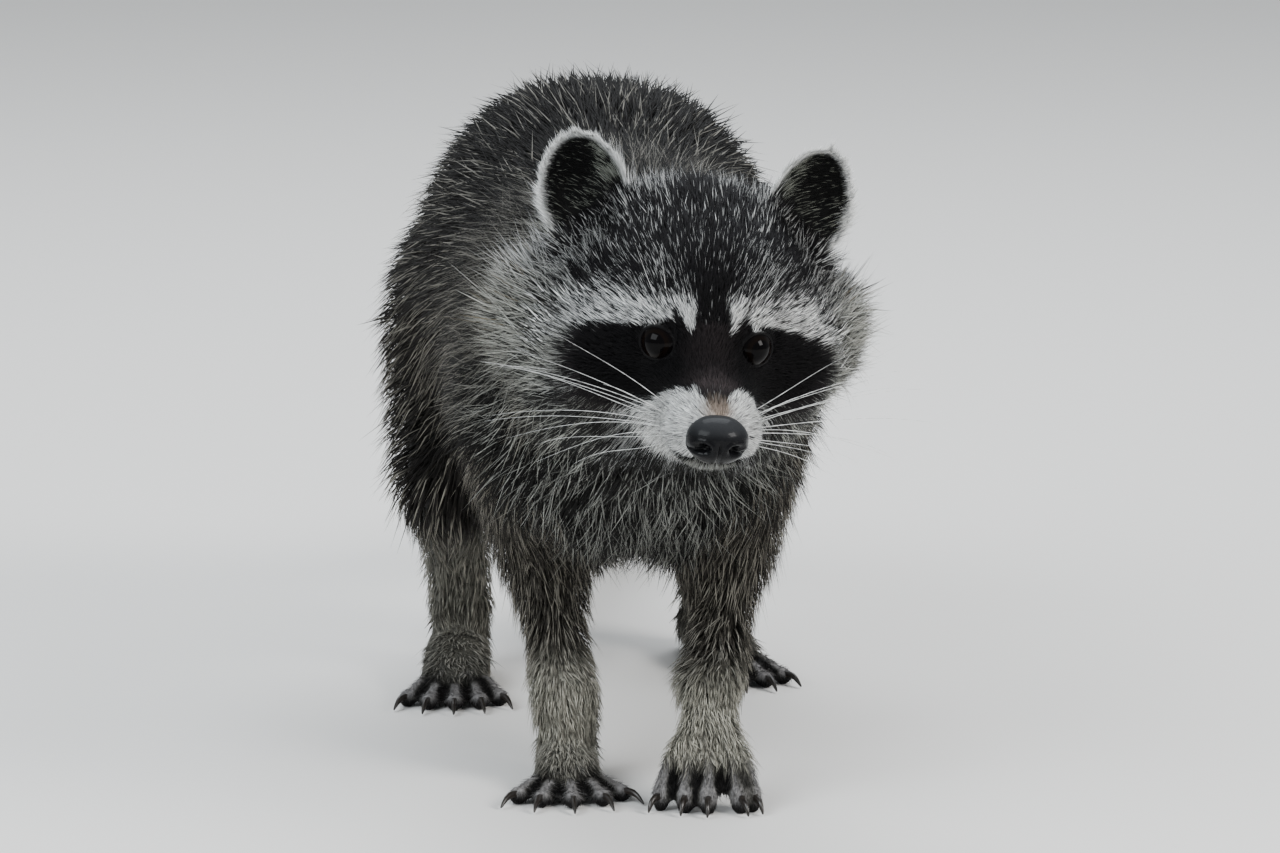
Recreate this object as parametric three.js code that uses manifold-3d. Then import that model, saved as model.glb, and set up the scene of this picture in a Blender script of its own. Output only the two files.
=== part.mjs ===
// A raccoon standing on four feet with its left forepaw reaching forward, at life size in millimetres.
// It faces -Y, its left side is +X, +Z is up and the floor is z = 0. The solids reach to the coat's tips.
// The body is one smooth form made of blended balls and rods. It is surfaced once for each part, at the
// fineness that the part needs, and thin cuts divide it where a person would name its parts.
import * as THREE from 'three';
import { mergeVertices } from 'three/addons/utils/BufferGeometryUtils.js';
import Module from 'manifold-3d';

const wasm = await Module();
wasm.setup();

// ---- Driving dimensions ----
const cutGap = 0.3; // between neighbouring solids
const shortestEdge = 0.08;
const blendWidth = 16; // how far the body's forms melt into each other
const headBlend = 8;
const eyeMiddle = [17, -110, 209.5]; // the point between the eyes, where the head's own frame sits
// In degrees: nose down, left side down, nose to its left.
const headTurn = { pitch: 10, roll: 5.5, yaw: 2.2 };
// The eyes look outward and up by these angles, from places this far from the middle and above it.
const eyeball = { radius: 9, apart: 15, height: 1.5, outward: 26, up: 6, depth: 6.6 };
const nose = { at: [0, -57, -19], half: [12.2, 10.5, 9.8] };
const ear = {
  root: [46, 55, 40.5], // the middle of the cup
  half: 19.5,
  above: 28,
  below: 27,
  cup: 11,
  thick: 5,
  lean: 16, // outward, in degrees
  face: 12, // turned outward
  back: 6, // leaning back
};
const toeRadius = 4.4;
const toeSides = 6;
const palmSides = 8;
const padSink = 0.5; // how much of each pad the floor flattens
const clawLength = 12;

const degrees = Math.PI / 180;
const vector = (p) => new THREE.Vector3(...p);
const headFrame = new THREE.Matrix4().compose(
  vector(eyeMiddle),
  new THREE.Quaternion().setFromEuler(
    new THREE.Euler(headTurn.pitch * degrees, headTurn.roll * degrees, headTurn.yaw * degrees),
  ),
  new THREE.Vector3(1, 1, 1),
);
const headFrameBack = headFrame.clone().invert();
const mirrored = ([x, y, z]) => [-x, y, z];

// ---- Distance functions: negative inside, in millimetres ----
function ball(at, half) {
  return ([x, y, z]) => {
    const a = [(x - at[0]) / half[0], (y - at[1]) / half[1], (z - at[2]) / half[2]];
    const near = Math.hypot(...a);
    const steep = Math.hypot(a[0] / half[0], a[1] / half[1], a[2] / half[2]);
    return steep < 1e-9 ? -Math.min(...half) : (near * (near - 1)) / steep;
  };
}

function rod(from, to, startRadius, endRadius) {
  const along = to.map((v, i) => v - from[i]);
  const lengthSquared = along.reduce((sum, v) => sum + v * v, 0);
  return (p) => {
    const reach = p.map((v, i) => v - from[i]);
    const share = reach.reduce((sum, v, i) => sum + v * along[i], 0) / lengthSquared;
    const t = Math.min(1, Math.max(0, share));
    const off = Math.hypot(...reach.map((v, i) => v - t * along[i]));
    return off - (startRadius + t * (endRadius - startRadius));
  };
}

function pair(at, half) {
  return [ball(at, half), ball(mirrored(at), half)];
}

function blended(forms, width) {
  return (p) =>
    forms.reduce((near, form) => {
      const next = form(p);
      const h = Math.max(0, width - Math.abs(near - next)) / width;
      return Math.min(near, next) - (h * h * width) / 4;
    }, 1e4);
}

// ---- The head, in its own frame: the eyes at y = 0, z = 0 and the nose towards -Y ----
const headForms = [
  ball([0, 40, 7], [51, 54, 40]), // skull
  ball([0, 6, 4], [25, 22, 21]), // bridge between the eyes
  rod([0, -45, -20], [0, -4, -15], 14, 24), // muzzle
  ...pair([9.5, -41, -22], [12.5, 15, 12]), // whisker pads
  rod([0, -40, -30], [0, 22, -34], 8.5, 24), // lower jaw
  ...pair([20, 8, 12], [14, 13, 9]), // brows
  ...pair([34, 34, -12], [34, 36, 30]), // cheeks
  ...pair([49, 60, -14], [28, 26, 32]), // cheek ruffs
  ball([0, 46, -36], [46, 44, 27]), // throat
];
const headShape = blended(headForms, headBlend);
const headInPlace = (p) => headShape(vector(p).applyMatrix4(headFrameBack).toArray());

// ---- Neck, trunk and tail ----
const trunkForms = [
  rod([14, -52, 198], [4, 28, 190], 56, 66), // neck
  ball([0, 30, 168], [62, 78, 68]), // chest
  ball([0, 64, 198], [58, 84, 60]), // withers
  ball([0, 148, 184], [82, 118, 82]), // barrel
  ball([2, 236, 197], [86, 98, 88]), // loins and hips
  ball([0, 290, 176], [62, 54, 64]), // rump
];
const trunkShape = blended(trunkForms, 40);
const tailRoot = new THREE.Vector3(0, 300, 196);
const tailTip = new THREE.Vector3(38, 560, 46);
const tailBend = new THREE.Vector3(4, 410, 40);
const tailCurve = new THREE.QuadraticBezierCurve3(tailRoot, tailBend, tailTip);
const tailRadius = (t) => 25 + 9 * Math.sin(Math.PI * (0.15 + t * 0.8)) - 10 * t ** 6;
const tailSteps = 9;
const tailForms = Array.from({ length: tailSteps }, (_, i) => {
  const [from, to] = [i / tailSteps, (i + 1) / tailSteps];
  const ends = [from, to].map((t) => tailCurve.getPoint(t).toArray());
  return rod(...ends, tailRadius(from), tailRadius(to));
});

// ---- Legs: each is the same limb with its own joints, so the stance is in these places ----
const foreJoints = {
  left: { shoulder: [46, 18, 160], elbow: [43, 42, 106], wrist: [31, 2, 45], palm: [31, -1, 40] },
  right: { shoulder: [-44, 20, 160], elbow: [-36, 62, 102], wrist: [-27, 36, 38], palm: [-27, 30, 16] },
};
const hindJoints = {
  left: { hip: [54, 262, 158], knee: [66, 222, 104], hock: [58, 296, 50], heel: [57, 298, 20] },
  right: { hip: [-54, 246, 158], knee: [-66, 194, 104], hock: [-58, 262, 50], heel: [-57, 264, 20] },
};
const foreForms = ({ shoulder, elbow, wrist, palm }) => [
  ball(shoulder, [30, 46, 58]),
  rod(shoulder, elbow, 30, 25),
  rod(elbow, wrist, 24, 12.5),
  rod(wrist, palm, 12.5, 12),
];
const hindForms = ({ hip, knee, hock, heel }) => [
  ball(hip, [36, 54, 60]),
  rod(hip, knee, 42, 30),
  rod(knee, hock, 27, 15.5),
  rod(hock, heel, 15.5, 14.5),
];
const bodyForms = [
  trunkShape,
  ...tailForms,
  ...Object.values(foreJoints).flatMap(foreForms),
  ...Object.values(hindJoints).flatMap(hindForms),
];
const bodyShape = blended([...bodyForms, headInPlace], blendWidth);

// ---- A closed surface from a distance function: one point in each crossed cell, pulled onto the form ----
const axes = [
  [1, 0, 0],
  [0, 1, 0],
  [0, 0, 1],
];

// A grid place moved by a and b along the two axes after the given one.
function moved(place, axis, a, b) {
  return place.map((v, n) => v + a * axes[(axis + 1) % 3][n] + b * axes[(axis + 2) % 3][n]);
}

function surfaced(shape, low, high, cell) {
  const count = low.map((v, i) => Math.ceil((high[i] - v) / cell) + 1);
  const at = (i, j, k) => [low[0] + i * cell, low[1] + j * cell, low[2] + k * cell];
  const index = (i, j, k) => (k * count[1] + j) * count[0] + i;
  const values = new Float32Array(count[0] * count[1] * count[2]);
  for (let k = 0; k < count[2]; k++)
    for (let j = 0; j < count[1]; j++)
      for (let i = 0; i < count[0]; i++) {
        const edge = [i, j, k].some((v, axis) => v === 0 || v === count[axis] - 1);
        values[index(i, j, k)] = edge ? cell : shape(at(i, j, k));
      }
  fillDiagonals(values, count, index, cell);
  const points = [];
  const pointOf = new Map();
  const corners = [0, 1, 2, 3, 4, 5, 6, 7].map((c) => [c & 1, (c >> 1) & 1, c >> 2]);
  for (let k = 0; k + 1 < count[2]; k++)
    for (let j = 0; j + 1 < count[1]; j++)
      for (let i = 0; i + 1 < count[0]; i++) {
        const inside = corners.filter(([a, b, c]) => values[index(i + a, j + b, k + c)] < 0);
        if (inside.length === 0 || inside.length === 8) continue;
        pointOf.set(index(i, j, k), points.length);
        const crossing = crossingPoint(corners, values, index, [i, j, k]);
        points.push(crossing.map((v, axis) => low[axis] + v * cell));
      }
  const faces = [];
  for (let k = 0; k + 1 < count[2]; k++)
    for (let j = 0; j + 1 < count[1]; j++)
      for (let i = 0; i + 1 < count[0]; i++)
        axes.forEach((step, axis) => {
          const here = values[index(i, j, k)] < 0;
          if (here === values[index(i + step[0], j + step[1], k + step[2])] < 0) return;
          const cellAt = (a, b) => pointOf.get(index(...moved([i, j, k], axis, -a, -b)));
          const ring = [cellAt(1, 1), cellAt(0, 1), cellAt(0, 0), cellAt(1, 0)];
          if (!here) ring.reverse();
          faces.push(ring[0], ring[1], ring[2], ring[0], ring[2], ring[3]);
        });
  return { points: points.map((p) => pulledOnto(shape, p, cell)), faces };
}

// Where a grid square's two inside corners are only diagonal, one more corner is taken inside. Otherwise four
// faces would share an edge.
function fillDiagonals(values, count, index, cell) {
  const inside = (place) => values[index(...place)] < 0;
  let changed = true;
  while (changed) {
    changed = false;
    for (let k = 1; k + 2 < count[2]; k++)
      for (let j = 1; j + 2 < count[1]; j++)
        for (let i = 1; i + 2 < count[0]; i++)
          for (const axis of [0, 1, 2]) {
            const turns = [[0, 0], [1, 0], [1, 1], [0, 1]];
            const square = turns.map(([a, b]) => moved([i, j, k], axis, a, b));
            const [first, second, third, fourth] = square.map(inside);
            if (first !== third || second !== fourth || first === second) continue;
            values[index(...square[first ? 1 : 0])] = -0.02 * cell;
            changed = true;
          }
  }
}

// The mean of the places where a cell's edges cross the surface, in cells.
function crossingPoint(corners, values, index, place) {
  const [i, j, k] = place;
  const sum = [0, 0, 0];
  let crossings = 0;
  corners.forEach((a, m) =>
    corners.slice(m + 1).forEach((b) => {
      if (a.reduce((n, v, axis) => n + Math.abs(v - b[axis]), 0) !== 1) return;
      const va = values[index(i + a[0], j + a[1], k + a[2])];
      const vb = values[index(i + b[0], j + b[1], k + b[2])];
      if (va < 0 === vb < 0) return;
      const t = va / (va - vb);
      a.forEach((v, axis) => (sum[axis] += v + t * (b[axis] - v)));
      crossings++;
    }),
  );
  return place.map((v, axis) => v + sum[axis] / crossings);
}

function pulledOnto(shape, point, cell) {
  const step = 0.2;
  const limit = cell / 4;
  let p = point;
  for (let n = 0; n < 3; n++) {
    const d = shape(p);
    const slope = p.map((v, i) => (shape(p.with(i, v + step)) - d) / step);
    const steep = Math.max(0.3, Math.hypot(...slope) ** 2);
    const move = Math.max(-limit, Math.min(limit, d / steep));
    p = p.map((v, i) => v - move * slope[i]);
  }
  return p;
}

// ---- Solids ----
function solidFrom({ points, faces }) {
  const vertProperties = new Float32Array(points.flat());
  return new wasm.Manifold(new wasm.Mesh({ numProp: 3, vertProperties, triVerts: new Uint32Array(faces) }));
}

function solidOf(geometry, matrix) {
  const bare = new THREE.BufferGeometry();
  bare.setAttribute('position', geometry.getAttribute('position').clone());
  bare.setIndex(geometry.index);
  if (matrix) bare.applyMatrix4(matrix);
  const merged = mergeVertices(bare, 1e-3);
  const index = Array.from(merged.index.array);
  const position = merged.getAttribute('position').array;
  const faces = [];
  for (let i = 0; i < index.length; i += 3) {
    const [a, b, c] = index.slice(i, i + 3);
    if (a !== b && b !== c && a !== c) faces.push(a, b, c);
  }
  const vertProperties = new Float32Array(position);
  return new wasm.Manifold(new wasm.Mesh({ numProp: 3, vertProperties, triVerts: new Uint32Array(faces) }));
}

// A cut leaves a few edges that are shorter than a hair, and each is closed up to one point.
function geometryOf(solid) {
  const mesh = solid.getMesh();
  const places = new Float32Array(mesh.numVert * 3);
  for (let i = 0; i < mesh.numVert; i++)
    places.set(mesh.vertProperties.subarray(i * mesh.numProp, i * mesh.numProp + 3), i * 3);
  const keptFor = Array.from({ length: mesh.numVert }, (_, i) => i);
  const kept = (i) => (keptFor[i] === i ? i : kept(keptFor[i]));
  const apart = (a, b) => Math.hypot(...[0, 1, 2].map((k) => places[3 * a + k] - places[3 * b + k]));
  const corners = Array.from(mesh.triVerts);
  corners.forEach((a, i) => {
    const b = corners[i % 3 === 2 ? i - 2 : i + 1];
    if (apart(a, b) < shortestEdge) keptFor[kept(Math.max(a, b))] = kept(Math.min(a, b));
  });
  const faces = new Map();
  for (let i = 0; i < corners.length; i += 3) {
    const face = corners.slice(i, i + 3).map(kept);
    if (new Set(face).size < 3) continue;
    const key = face.toSorted().join();
    if (faces.has(key)) faces.delete(key);
    else faces.set(key, face);
  }
  const geometry = new THREE.BufferGeometry();
  geometry.setAttribute('position', new THREE.BufferAttribute(places, 3));
  geometry.setIndex([...faces.values()].flat());
  geometry.computeVertexNormals();
  return geometry;
}

// A tube of elliptic rings along a path, with one side of each ring facing down: stations are
// { at, wide, tall }, and the ends are rounded off.
function loft(stations, sides) {
  const places = stations.map((s) => vector(s.at));
  const rings = stations.map((s, i) => {
    const steps = [i - 1, i].filter((n) => n >= 0 && n + 1 < places.length);
    const along = steps.reduce(
      (sum, n) => sum.add(places[n + 1].clone().sub(places[n]).normalize()),
      new THREE.Vector3(),
    );
    along.normalize();
    const flat = Math.hypot(along.x, along.y) > 0.05 ? along : new THREE.Vector3(0, -1, 0);
    const across = new THREE.Vector3(-flat.y, flat.x, 0).normalize();
    const over = along.clone().cross(across);
    return { centre: places[i], across, over, along, wide: s.wide, tall: s.tall };
  });
  const points = [];
  rings.forEach((ring) => {
    for (let n = 0; n < sides; n++) {
      const turn = (Math.PI * (2 * n - 1)) / sides - Math.PI / 2;
      const p = ring.centre.clone();
      p.addScaledVector(ring.across, ring.wide * Math.cos(turn));
      p.addScaledVector(ring.over, -ring.tall * Math.sin(turn));
      points.push(p.toArray());
    }
  });
  const faces = [];
  for (let r = 0; r + 1 < rings.length; r++)
    for (let n = 0; n < sides; n++) {
      const [a, b] = [r * sides + n, r * sides + ((n + 1) % sides)];
      faces.push(a, a + sides, b, b, a + sides, b + sides);
    }
  [0, rings.length - 1].forEach((r) => {
    const ring = rings[r];
    const outward = r === 0 ? -1 : 1;
    const reach = 0.6 * outward * Math.min(ring.wide, ring.tall);
    const tip = ring.centre.clone().addScaledVector(ring.along, reach);
    const pole = points.push(tip.toArray()) - 1;
    for (let n = 0; n < sides; n++) {
      const [a, b] = [r * sides + n, r * sides + ((n + 1) % sides)];
      faces.push(...(r === 0 ? [pole, a, b] : [pole, b, a]));
    }
  });
  return solidFrom({ points, faces });
}

// A box given by its low and high corners, placed by a matrix.
function block(low, high, matrix) {
  const size = high.map((v, i) => v - low[i]);
  const middle = high.map((v, i) => (v + low[i]) / 2);
  const box = new THREE.BoxGeometry(...size).translate(...middle);
  return solidOf(box, matrix);
}

// A large block on the far side of a plane, whose normal points into the block.
function beyond(point, normal, half = 400) {
  const up = new THREE.Vector3(0, 0, 1);
  const turn = new THREE.Quaternion().setFromUnitVectors(up, vector(normal).normalize());
  const frame = new THREE.Matrix4().compose(vector(point), turn, new THREE.Vector3(1, 1, 1));
  return (away = 0, wide = half, deep = 2 * half) => block([-wide, -wide, away], [wide, wide, deep], frame);
}

// A block with the outline of a polygon in the XZ plane, from y0 to y1.
function slab(outline, y0, y1) {
  const shape = new THREE.Shape(outline.map(([x, z]) => new THREE.Vector2(x, z)));
  const geometry = new THREE.ExtrudeGeometry(shape, { depth: y1 - y0, bevelEnabled: false });
  const frame = new THREE.Matrix4().makeRotationX(Math.PI / 2).setPosition(0, y1, 0);
  return solidOf(geometry, frame);
}

// ---- Where the body is divided ----
const headBlock = (grow) => block([-130, -110, -66 - grow], [130, 70 + grow, 130], headFrame);
const neckSide = beyond([0, -30, 157], [0, -108, 62]);
const neckBlock = (grow) => neckSide(-grow).intersect(block([-150, -150, 150 - grow], [150, 90, 330]));
const tailCut = 0.14; // share of the tail's curve that lies inside the rump
const tailSide = beyond(tailCurve.getPoint(tailCut).toArray(), tailCurve.getTangent(tailCut).toArray());
const tailBlock = (grow) =>
  tailSide(-grow, 58 + grow, 64).add(block([-90, 341 - grow, -20], [110, 640, 149 + grow]));
const floorBlock = block([-300, -400, -200], [300, 700, 0]);

function legBlock(side, low, high, y0, y1, grow) {
  const sign = side === 'left' ? 1 : -1;
  const outline = [
    [3 - grow, -10],
    [3 - grow, low + grow],
    [18 - grow, low + 12 + grow],
    [130, high + grow],
    [130, -10],
  ].map(([x, z]) => [sign * x, z]);
  return slab(sign > 0 ? outline : outline.reverse(), y0 - grow, y1 + grow);
}
const foreBlock = (side, grow = 0) => legBlock(side, 86, 222, -110, 82, grow);
const hindBlock = (side, grow = 0) => legBlock(side, 96, 252, side === 'left' ? 172 : 148, 352, grow);

// The lower half of a joint: the far side of a plane across the lower bone.
function below(from, to, share, away = 0) {
  const start = vector(from);
  const normal = vector(to).sub(start);
  const point = start.clone().addScaledVector(normal, share);
  return beyond(point.toArray(), normal.toArray())(away, 160, 300);
}

// ---- Surfaces of the body's regions ----
const headCell = 9.8;
const region = (low, high, cell, grow = 0) =>
  solidFrom(surfaced((p) => bodyShape(p) - grow, low, high, cell));
const headRegion = region([-84, -196, 118], [118, 6, 304], headCell);
const trunkRegion = region([-116, -128, 62], [116, 380, 312], 25);
const foreRegion = region([-98, -92, 0], [98, 104, 244], 14.5);
const hindRegion = region([-112, 124, 0], [112, 360, 264], 17);
const tailRegion = region([-66, 280, -10], [110, 612, 240], 19.5);

const parts = new Map(); // node name to { solid, material }
const largestOf = (solid) => solid.decompose().sort((a, b) => b.volume() - a.volume())[0];
const add = (name, solid, material) => parts.set(name, { solid: largestOf(solid), material });

// ---- Paws: a palm or sole and five toes, each toe with a claw ----
const reachingHand = {
  reach: 22, // from the limb's end to the knuckles
  rise: 29, // the knuckles' height
  palm: 14.5, // half the palm's width
  spread: [-28, -8, 2, 24, 30], // each toe's heading, thumb first, in degrees
  length: [15, 17, 19, 18, 15],
  across: [-12, -6, 0.5, 7, 12], // where each toe leaves the palm
};
const forefoot = {
  reach: 32,
  rise: 8,
  palm: 14,
  back: 4, // behind the limb's end
  spread: [-40, -18, -2, 14, 32],
  length: [20, 27, 30, 28, 23],
  across: [-11, -6.5, -0.5, 5.5, 10.5],
};
const hindfoot = {
  reach: 62,
  rise: 9,
  palm: 16,
  back: 12,
  spread: [-26, -11, -1, 9, 23],
  length: [20, 27, 29, 28, 22],
  across: [-13, -7.5, -0.5, 6.5, 12.5],
};
const paws = {
  forepaw_left: { ...reachingHand, limb: foreJoints.left.wrist, heading: -9 },
  forepaw_right: { ...forefoot, limb: foreJoints.right.wrist, heading: -3 },
  hindpaw_left: { ...hindfoot, limb: hindJoints.left.heel, heading: 6 },
  hindpaw_right: { ...hindfoot, limb: hindJoints.right.heel, heading: -6 },
};

// A point ahead of the limb's end along the paw's heading; ahead and aside are in the floor's plane.
function pawPoint({ limb, heading }, ahead, aside, z) {
  const turn = heading * degrees;
  return [
    limb[0] + aside * Math.cos(turn) + ahead * Math.sin(turn),
    limb[1] - ahead * Math.cos(turn) + aside * Math.sin(turn),
    z,
  ];
}

const steepPaw = (paw) => paw.rise > 15; // a palm held up, with its toes reaching down to the floor

// The places along toe number n and its claw, with the thumb on the inner side.
function toePlaces(paw, inner, n) {
  const { spread, length, across } = paw;
  const aside = inner * across[n];
  const turn = inner * spread[n] * degrees;
  const low = toeRadius * Math.cos(Math.PI / toeSides) - padSink;
  const at = (share, z) => {
    const far = share * length[n];
    return pawPoint(paw, paw.reach - 3 + far * Math.cos(turn), aside + far * Math.sin(turn), z);
  };
  const claw = clawLength / length[n];
  if (steepPaw(paw))
    return {
      base: at(0, paw.rise - 1),
      knuckle: at(0.5, paw.rise * 0.72),
      tip: at(0.86, low + 4),
      end: at(1, 0.8),
      nailRoot: at(0.92, low + 5),
      nailTop: at(1.2 + 0.3 * claw, low + 2.6),
      nailTip: at(1.2 + 0.5 * claw, 1),
    };
  return {
    base: at(0, paw.rise - 1),
    knuckle: at(0.42, Math.max(paw.rise * 0.62, low + 2.6)),
    tip: at(0.8, low),
    end: at(1, low),
    nailRoot: at(0.82, low + 1.6),
    nailTop: at(1 + 0.45 * claw, low + 1.9),
    nailTip: at(1 + 0.9 * claw, 1.1),
  };
}

function pawSolid(paw, inner, grow = 0) {
  const station = (ahead, z, wide, tall) => ({
    at: pawPoint(paw, ahead, 0, z),
    wide: wide + grow,
    tall: tall + grow,
  });
  const onFloor = (ahead, z, wide) =>
    station(ahead, z, wide, (z + padSink) / Math.cos(Math.PI / palmSides));
  const high = paw.limb[2];
  const { reach, rise, palm, back } = paw;
  const hand = [station(-5, high + 4, 12, 12), station(5, high - 6, 12.5, 11)];
  const raisedPalm = [...hand, station(0.6 * reach, rise + 4, palm, 9), station(reach, rise - 1, palm, 6)];
  const flatSole = [
    station(-back, 10.5, 10.5, 8.5),
    onFloor(-back / 3, 13, 13.5),
    onFloor(0.4 * reach, 11, palm - 1),
    onFloor(0.7 * reach, 9, palm),
    station(reach, 7, palm - 1, 7),
  ];
  const whole = loft(steepPaw(paw) ? raisedPalm : flatSole, palmSides);
  return [0, 1, 2, 3, 4].reduce((joined, n) => {
    const toe = toePlaces(paw, inner, n);
    const radius = toeRadius + grow;
    const rings = [
      { at: toe.base, wide: radius, tall: radius },
      { at: toe.knuckle, wide: radius * 0.94, tall: radius },
      { at: toe.tip, wide: radius * 1.06, tall: radius },
      { at: toe.end, wide: radius * 0.66, tall: radius * 0.6 },
    ];
    return joined.add(loft(rings, toeSides));
  }, whole);
}

function clawSolid(toe) {
  const rings = [
    { at: toe.nailRoot, wide: 1.9, tall: 2.3 },
    { at: toe.nailTop, wide: 1.3, tall: 1.6 },
    { at: toe.nailTip, wide: 0.45, tall: 0.5 },
  ];
  return loft(rings, 5);
}

// ---- Legs, parted at elbow, wrist, knee and hock ----
for (const side of ['left', 'right']) {
  const inner = side === 'left' ? 1 : -1;
  const { elbow, wrist } = foreJoints[side];
  const foreleg = foreRegion.intersect(foreBlock(side)).subtract(headBlock(cutGap));
  const forearm = foreleg.intersect(below(elbow, wrist, 0.02, cutGap));
  add(`upper_arm_${side}`, foreleg.subtract(below(elbow, wrist, 0.02)), 'coatGrey');
  add(`forearm_${side}`, forearm.subtract(below(elbow, wrist, 0.94)), 'coatGrey');

  const { knee, hock, heel } = hindJoints[side];
  const hindleg = hindRegion.intersect(hindBlock(side)).subtract(tailBlock(cutGap));
  const shank = hindleg.intersect(below(knee, hock, 0.13, cutGap));
  add(`thigh_${side}`, hindleg.subtract(below(knee, hock, 0.13)), 'coatGrey');
  add(`shank_${side}`, shank.subtract(below(hock, heel, 0.55)), 'coatGrey');

  for (const end of ['forepaw', 'hindpaw']) {
    const name = `${end}_${side}`;
    const paw = paws[name];
    const cut = end === 'forepaw' ? below(elbow, wrist, 0.94, cutGap) : below(hock, heel, 0.55, cutGap);
    const grown = pawSolid(paw, inner, 2 * cutGap);
    const limb = (end === 'forepaw' ? foreleg : hindleg).intersect(cut);
    add(name, pawSolid(paw, inner).intersect(cut).add(limb).subtract(floorBlock), 'pawDark');
    for (let n = 0; n < 5; n++) {
      const claw = clawSolid(toePlaces(paw, inner, n)).subtract(grown);
      add(`claw_${end}_${side}_${n + 1}`, claw, 'clawHorn');
    }
  }
}

// ---- Trunk, neck and tail ----
const legBlocks = ['left', 'right'].map((side) => foreBlock(side, cutGap).add(hindBlock(side, cutGap)));
const trunk = trunkRegion
  .subtract(neckBlock(cutGap))
  .subtract(headBlock(cutGap))
  .subtract(tailBlock(cutGap))
  .subtract(legBlocks[0])
  .subtract(legBlocks[1]);
const neck = trunkRegion
  .intersect(neckBlock(0))
  .subtract(headBlock(cutGap))
  .subtract(legBlocks[0])
  .subtract(legBlocks[1]);
add('trunk', trunk, 'coatGrey');
add('neck', neck, 'coatGrey');
add('tail', tailRegion.intersect(tailBlock(0)), 'coatRinged');

// ---- Head: skull and muzzle, lower jaw, nose, eyes and ears ----
const sphere = new THREE.SphereGeometry(1, 12, 7);
const placedIn = (frame, at, half) =>
  new THREE.Matrix4().multiplyMatrices(frame, new THREE.Matrix4().makeTranslation(...at).scale(vector(half)));
const jawBlock = (grow) => block([-27 - grow, -75, -90], [27 + grow, -4 + grow, -31 + grow], headFrame);

// The eye's middle lies a set depth under the face, on the line along which it looks out.
function eyeCentre(sign) {
  const turn = eyeball.outward * degrees;
  const lift = eyeball.up * degrees;
  const level = [sign * Math.sin(turn), -Math.cos(turn)].map((v) => v * Math.cos(lift));
  const gaze = vector([...level, Math.sin(lift)]);
  const start = vector([sign * eyeball.apart, 0, eyeball.height]);
  let out = -20;
  while (headShape(start.clone().addScaledVector(gaze, out).toArray()) < 0) out += 0.1;
  return start.addScaledVector(gaze, out - eyeball.depth).toArray();
}

const nosePad = (grow) => solidOf(sphere, placedIn(headFrame, nose.at, nose.half.map((v) => v + grow)));
const eyeSolid = (sign, grow) => {
  const half = Array(3).fill(eyeball.radius + grow);
  return solidOf(sphere, placedIn(headFrame, eyeCentre(sign), half));
};

// An ear is a cup: two discs of rings, the back one bulging, joined round the rim.
function earSolid(sign) {
  const spokes = 12;
  const rings = [0.4, 0.75, 0.94];
  const outline = (turn) => {
    const height = Math.sin(turn) > 0 ? ear.above : ear.below;
    return [ear.half * Math.cos(turn), height * Math.sin(turn)];
  };
  const points = [];
  const disc = (offset, shares) =>
    shares.map((s) => {
      const first = points.length;
      for (let n = 0; n < spokes; n++) {
        const [x, z] = outline((2 * Math.PI * n) / spokes);
        points.push([s * x, ear.cup * (1 - s * s) + offset * (1 - 0.35 * s), s * z]);
      }
      return first;
    });
  const rows = [...disc(-ear.thick / 2, rings), ...disc(0, [1]), ...disc(ear.thick / 2, rings.toReversed())];
  const faces = [];
  rows.slice(1).forEach((next, r) => {
    for (let n = 0; n < spokes; n++) {
      const m = (n + 1) % spokes;
      faces.push(rows[r] + n, next + n, rows[r] + m, next + n, next + m, rows[r] + m);
    }
  });
  const poles = [-1, 1].map((face) => points.push([0, ear.cup + (face * ear.thick) / 2, 0]) - 1);
  for (let n = 0; n < spokes; n++) {
    const m = (n + 1) % spokes;
    faces.push(poles[0], rows[0] + n, rows[0] + m);
    faces.push(poles[1], rows.at(-1) + m, rows.at(-1) + n);
  }
  const angles = [-ear.back, sign * ear.lean, sign * ear.face].map((angle) => angle * degrees);
  const turn = new THREE.Euler(...angles, 'ZYX');
  const place = new THREE.Matrix4().makeRotationFromEuler(turn);
  place.setPosition(sign * ear.root[0], ear.root[1], ear.root[2]);
  const frame = new THREE.Matrix4().multiplyMatrices(headFrame, place);
  const geometry = new THREE.BufferGeometry();
  geometry.setAttribute('position', new THREE.Float32BufferAttribute(points.flat(), 3));
  geometry.setIndex(faces);
  return solidOf(geometry, frame);
}

const headWhole = headRegion.intersect(headBlock(0));
const sockets = nosePad(cutGap).add(eyeSolid(1, cutGap)).add(eyeSolid(-1, cutGap));
const headBare = headWhole.subtract(sockets);
add('head', headBare.subtract(jawBlock(cutGap)), 'coatMasked');
add('lower_jaw', headBare.intersect(jawBlock(0)), 'coatMasked');
add('nose', nosePad(0), 'noseLeather');
const headGrown = region([-84, -196, 118], [118, 34, 304], headCell, cutGap + 0.6);
for (const [side, sign] of [['left', 1], ['right', -1]]) {
  add(`eye_${side}`, eyeSolid(sign, 0), 'eyeDark');
  add(`ear_${side}`, earSolid(sign).subtract(headGrown), 'coatMasked');
}

// ---- Materials and the finished group, moved so that its box is centred over the origin ----
const materials = {
  coatGrey: new THREE.MeshStandardMaterial({ color: 0x55504a, roughness: 0.85, metalness: 0 }),
  coatMasked: new THREE.MeshStandardMaterial({ color: 0x6d6a66, roughness: 0.85, metalness: 0 }),
  coatRinged: new THREE.MeshStandardMaterial({ color: 0x4a443d, roughness: 0.85, metalness: 0 }),
  pawDark: new THREE.MeshStandardMaterial({ color: 0x4b4845, roughness: 0.7, metalness: 0 }),
  noseLeather: new THREE.MeshStandardMaterial({ color: 0x0c0c0d, roughness: 0.3, metalness: 0 }),
  eyeDark: new THREE.MeshStandardMaterial({ color: 0x0a0706, roughness: 0.05, metalness: 0 }),
  clawHorn: new THREE.MeshStandardMaterial({ color: 0x16130f, roughness: 0.4, metalness: 0 }),
};

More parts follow.
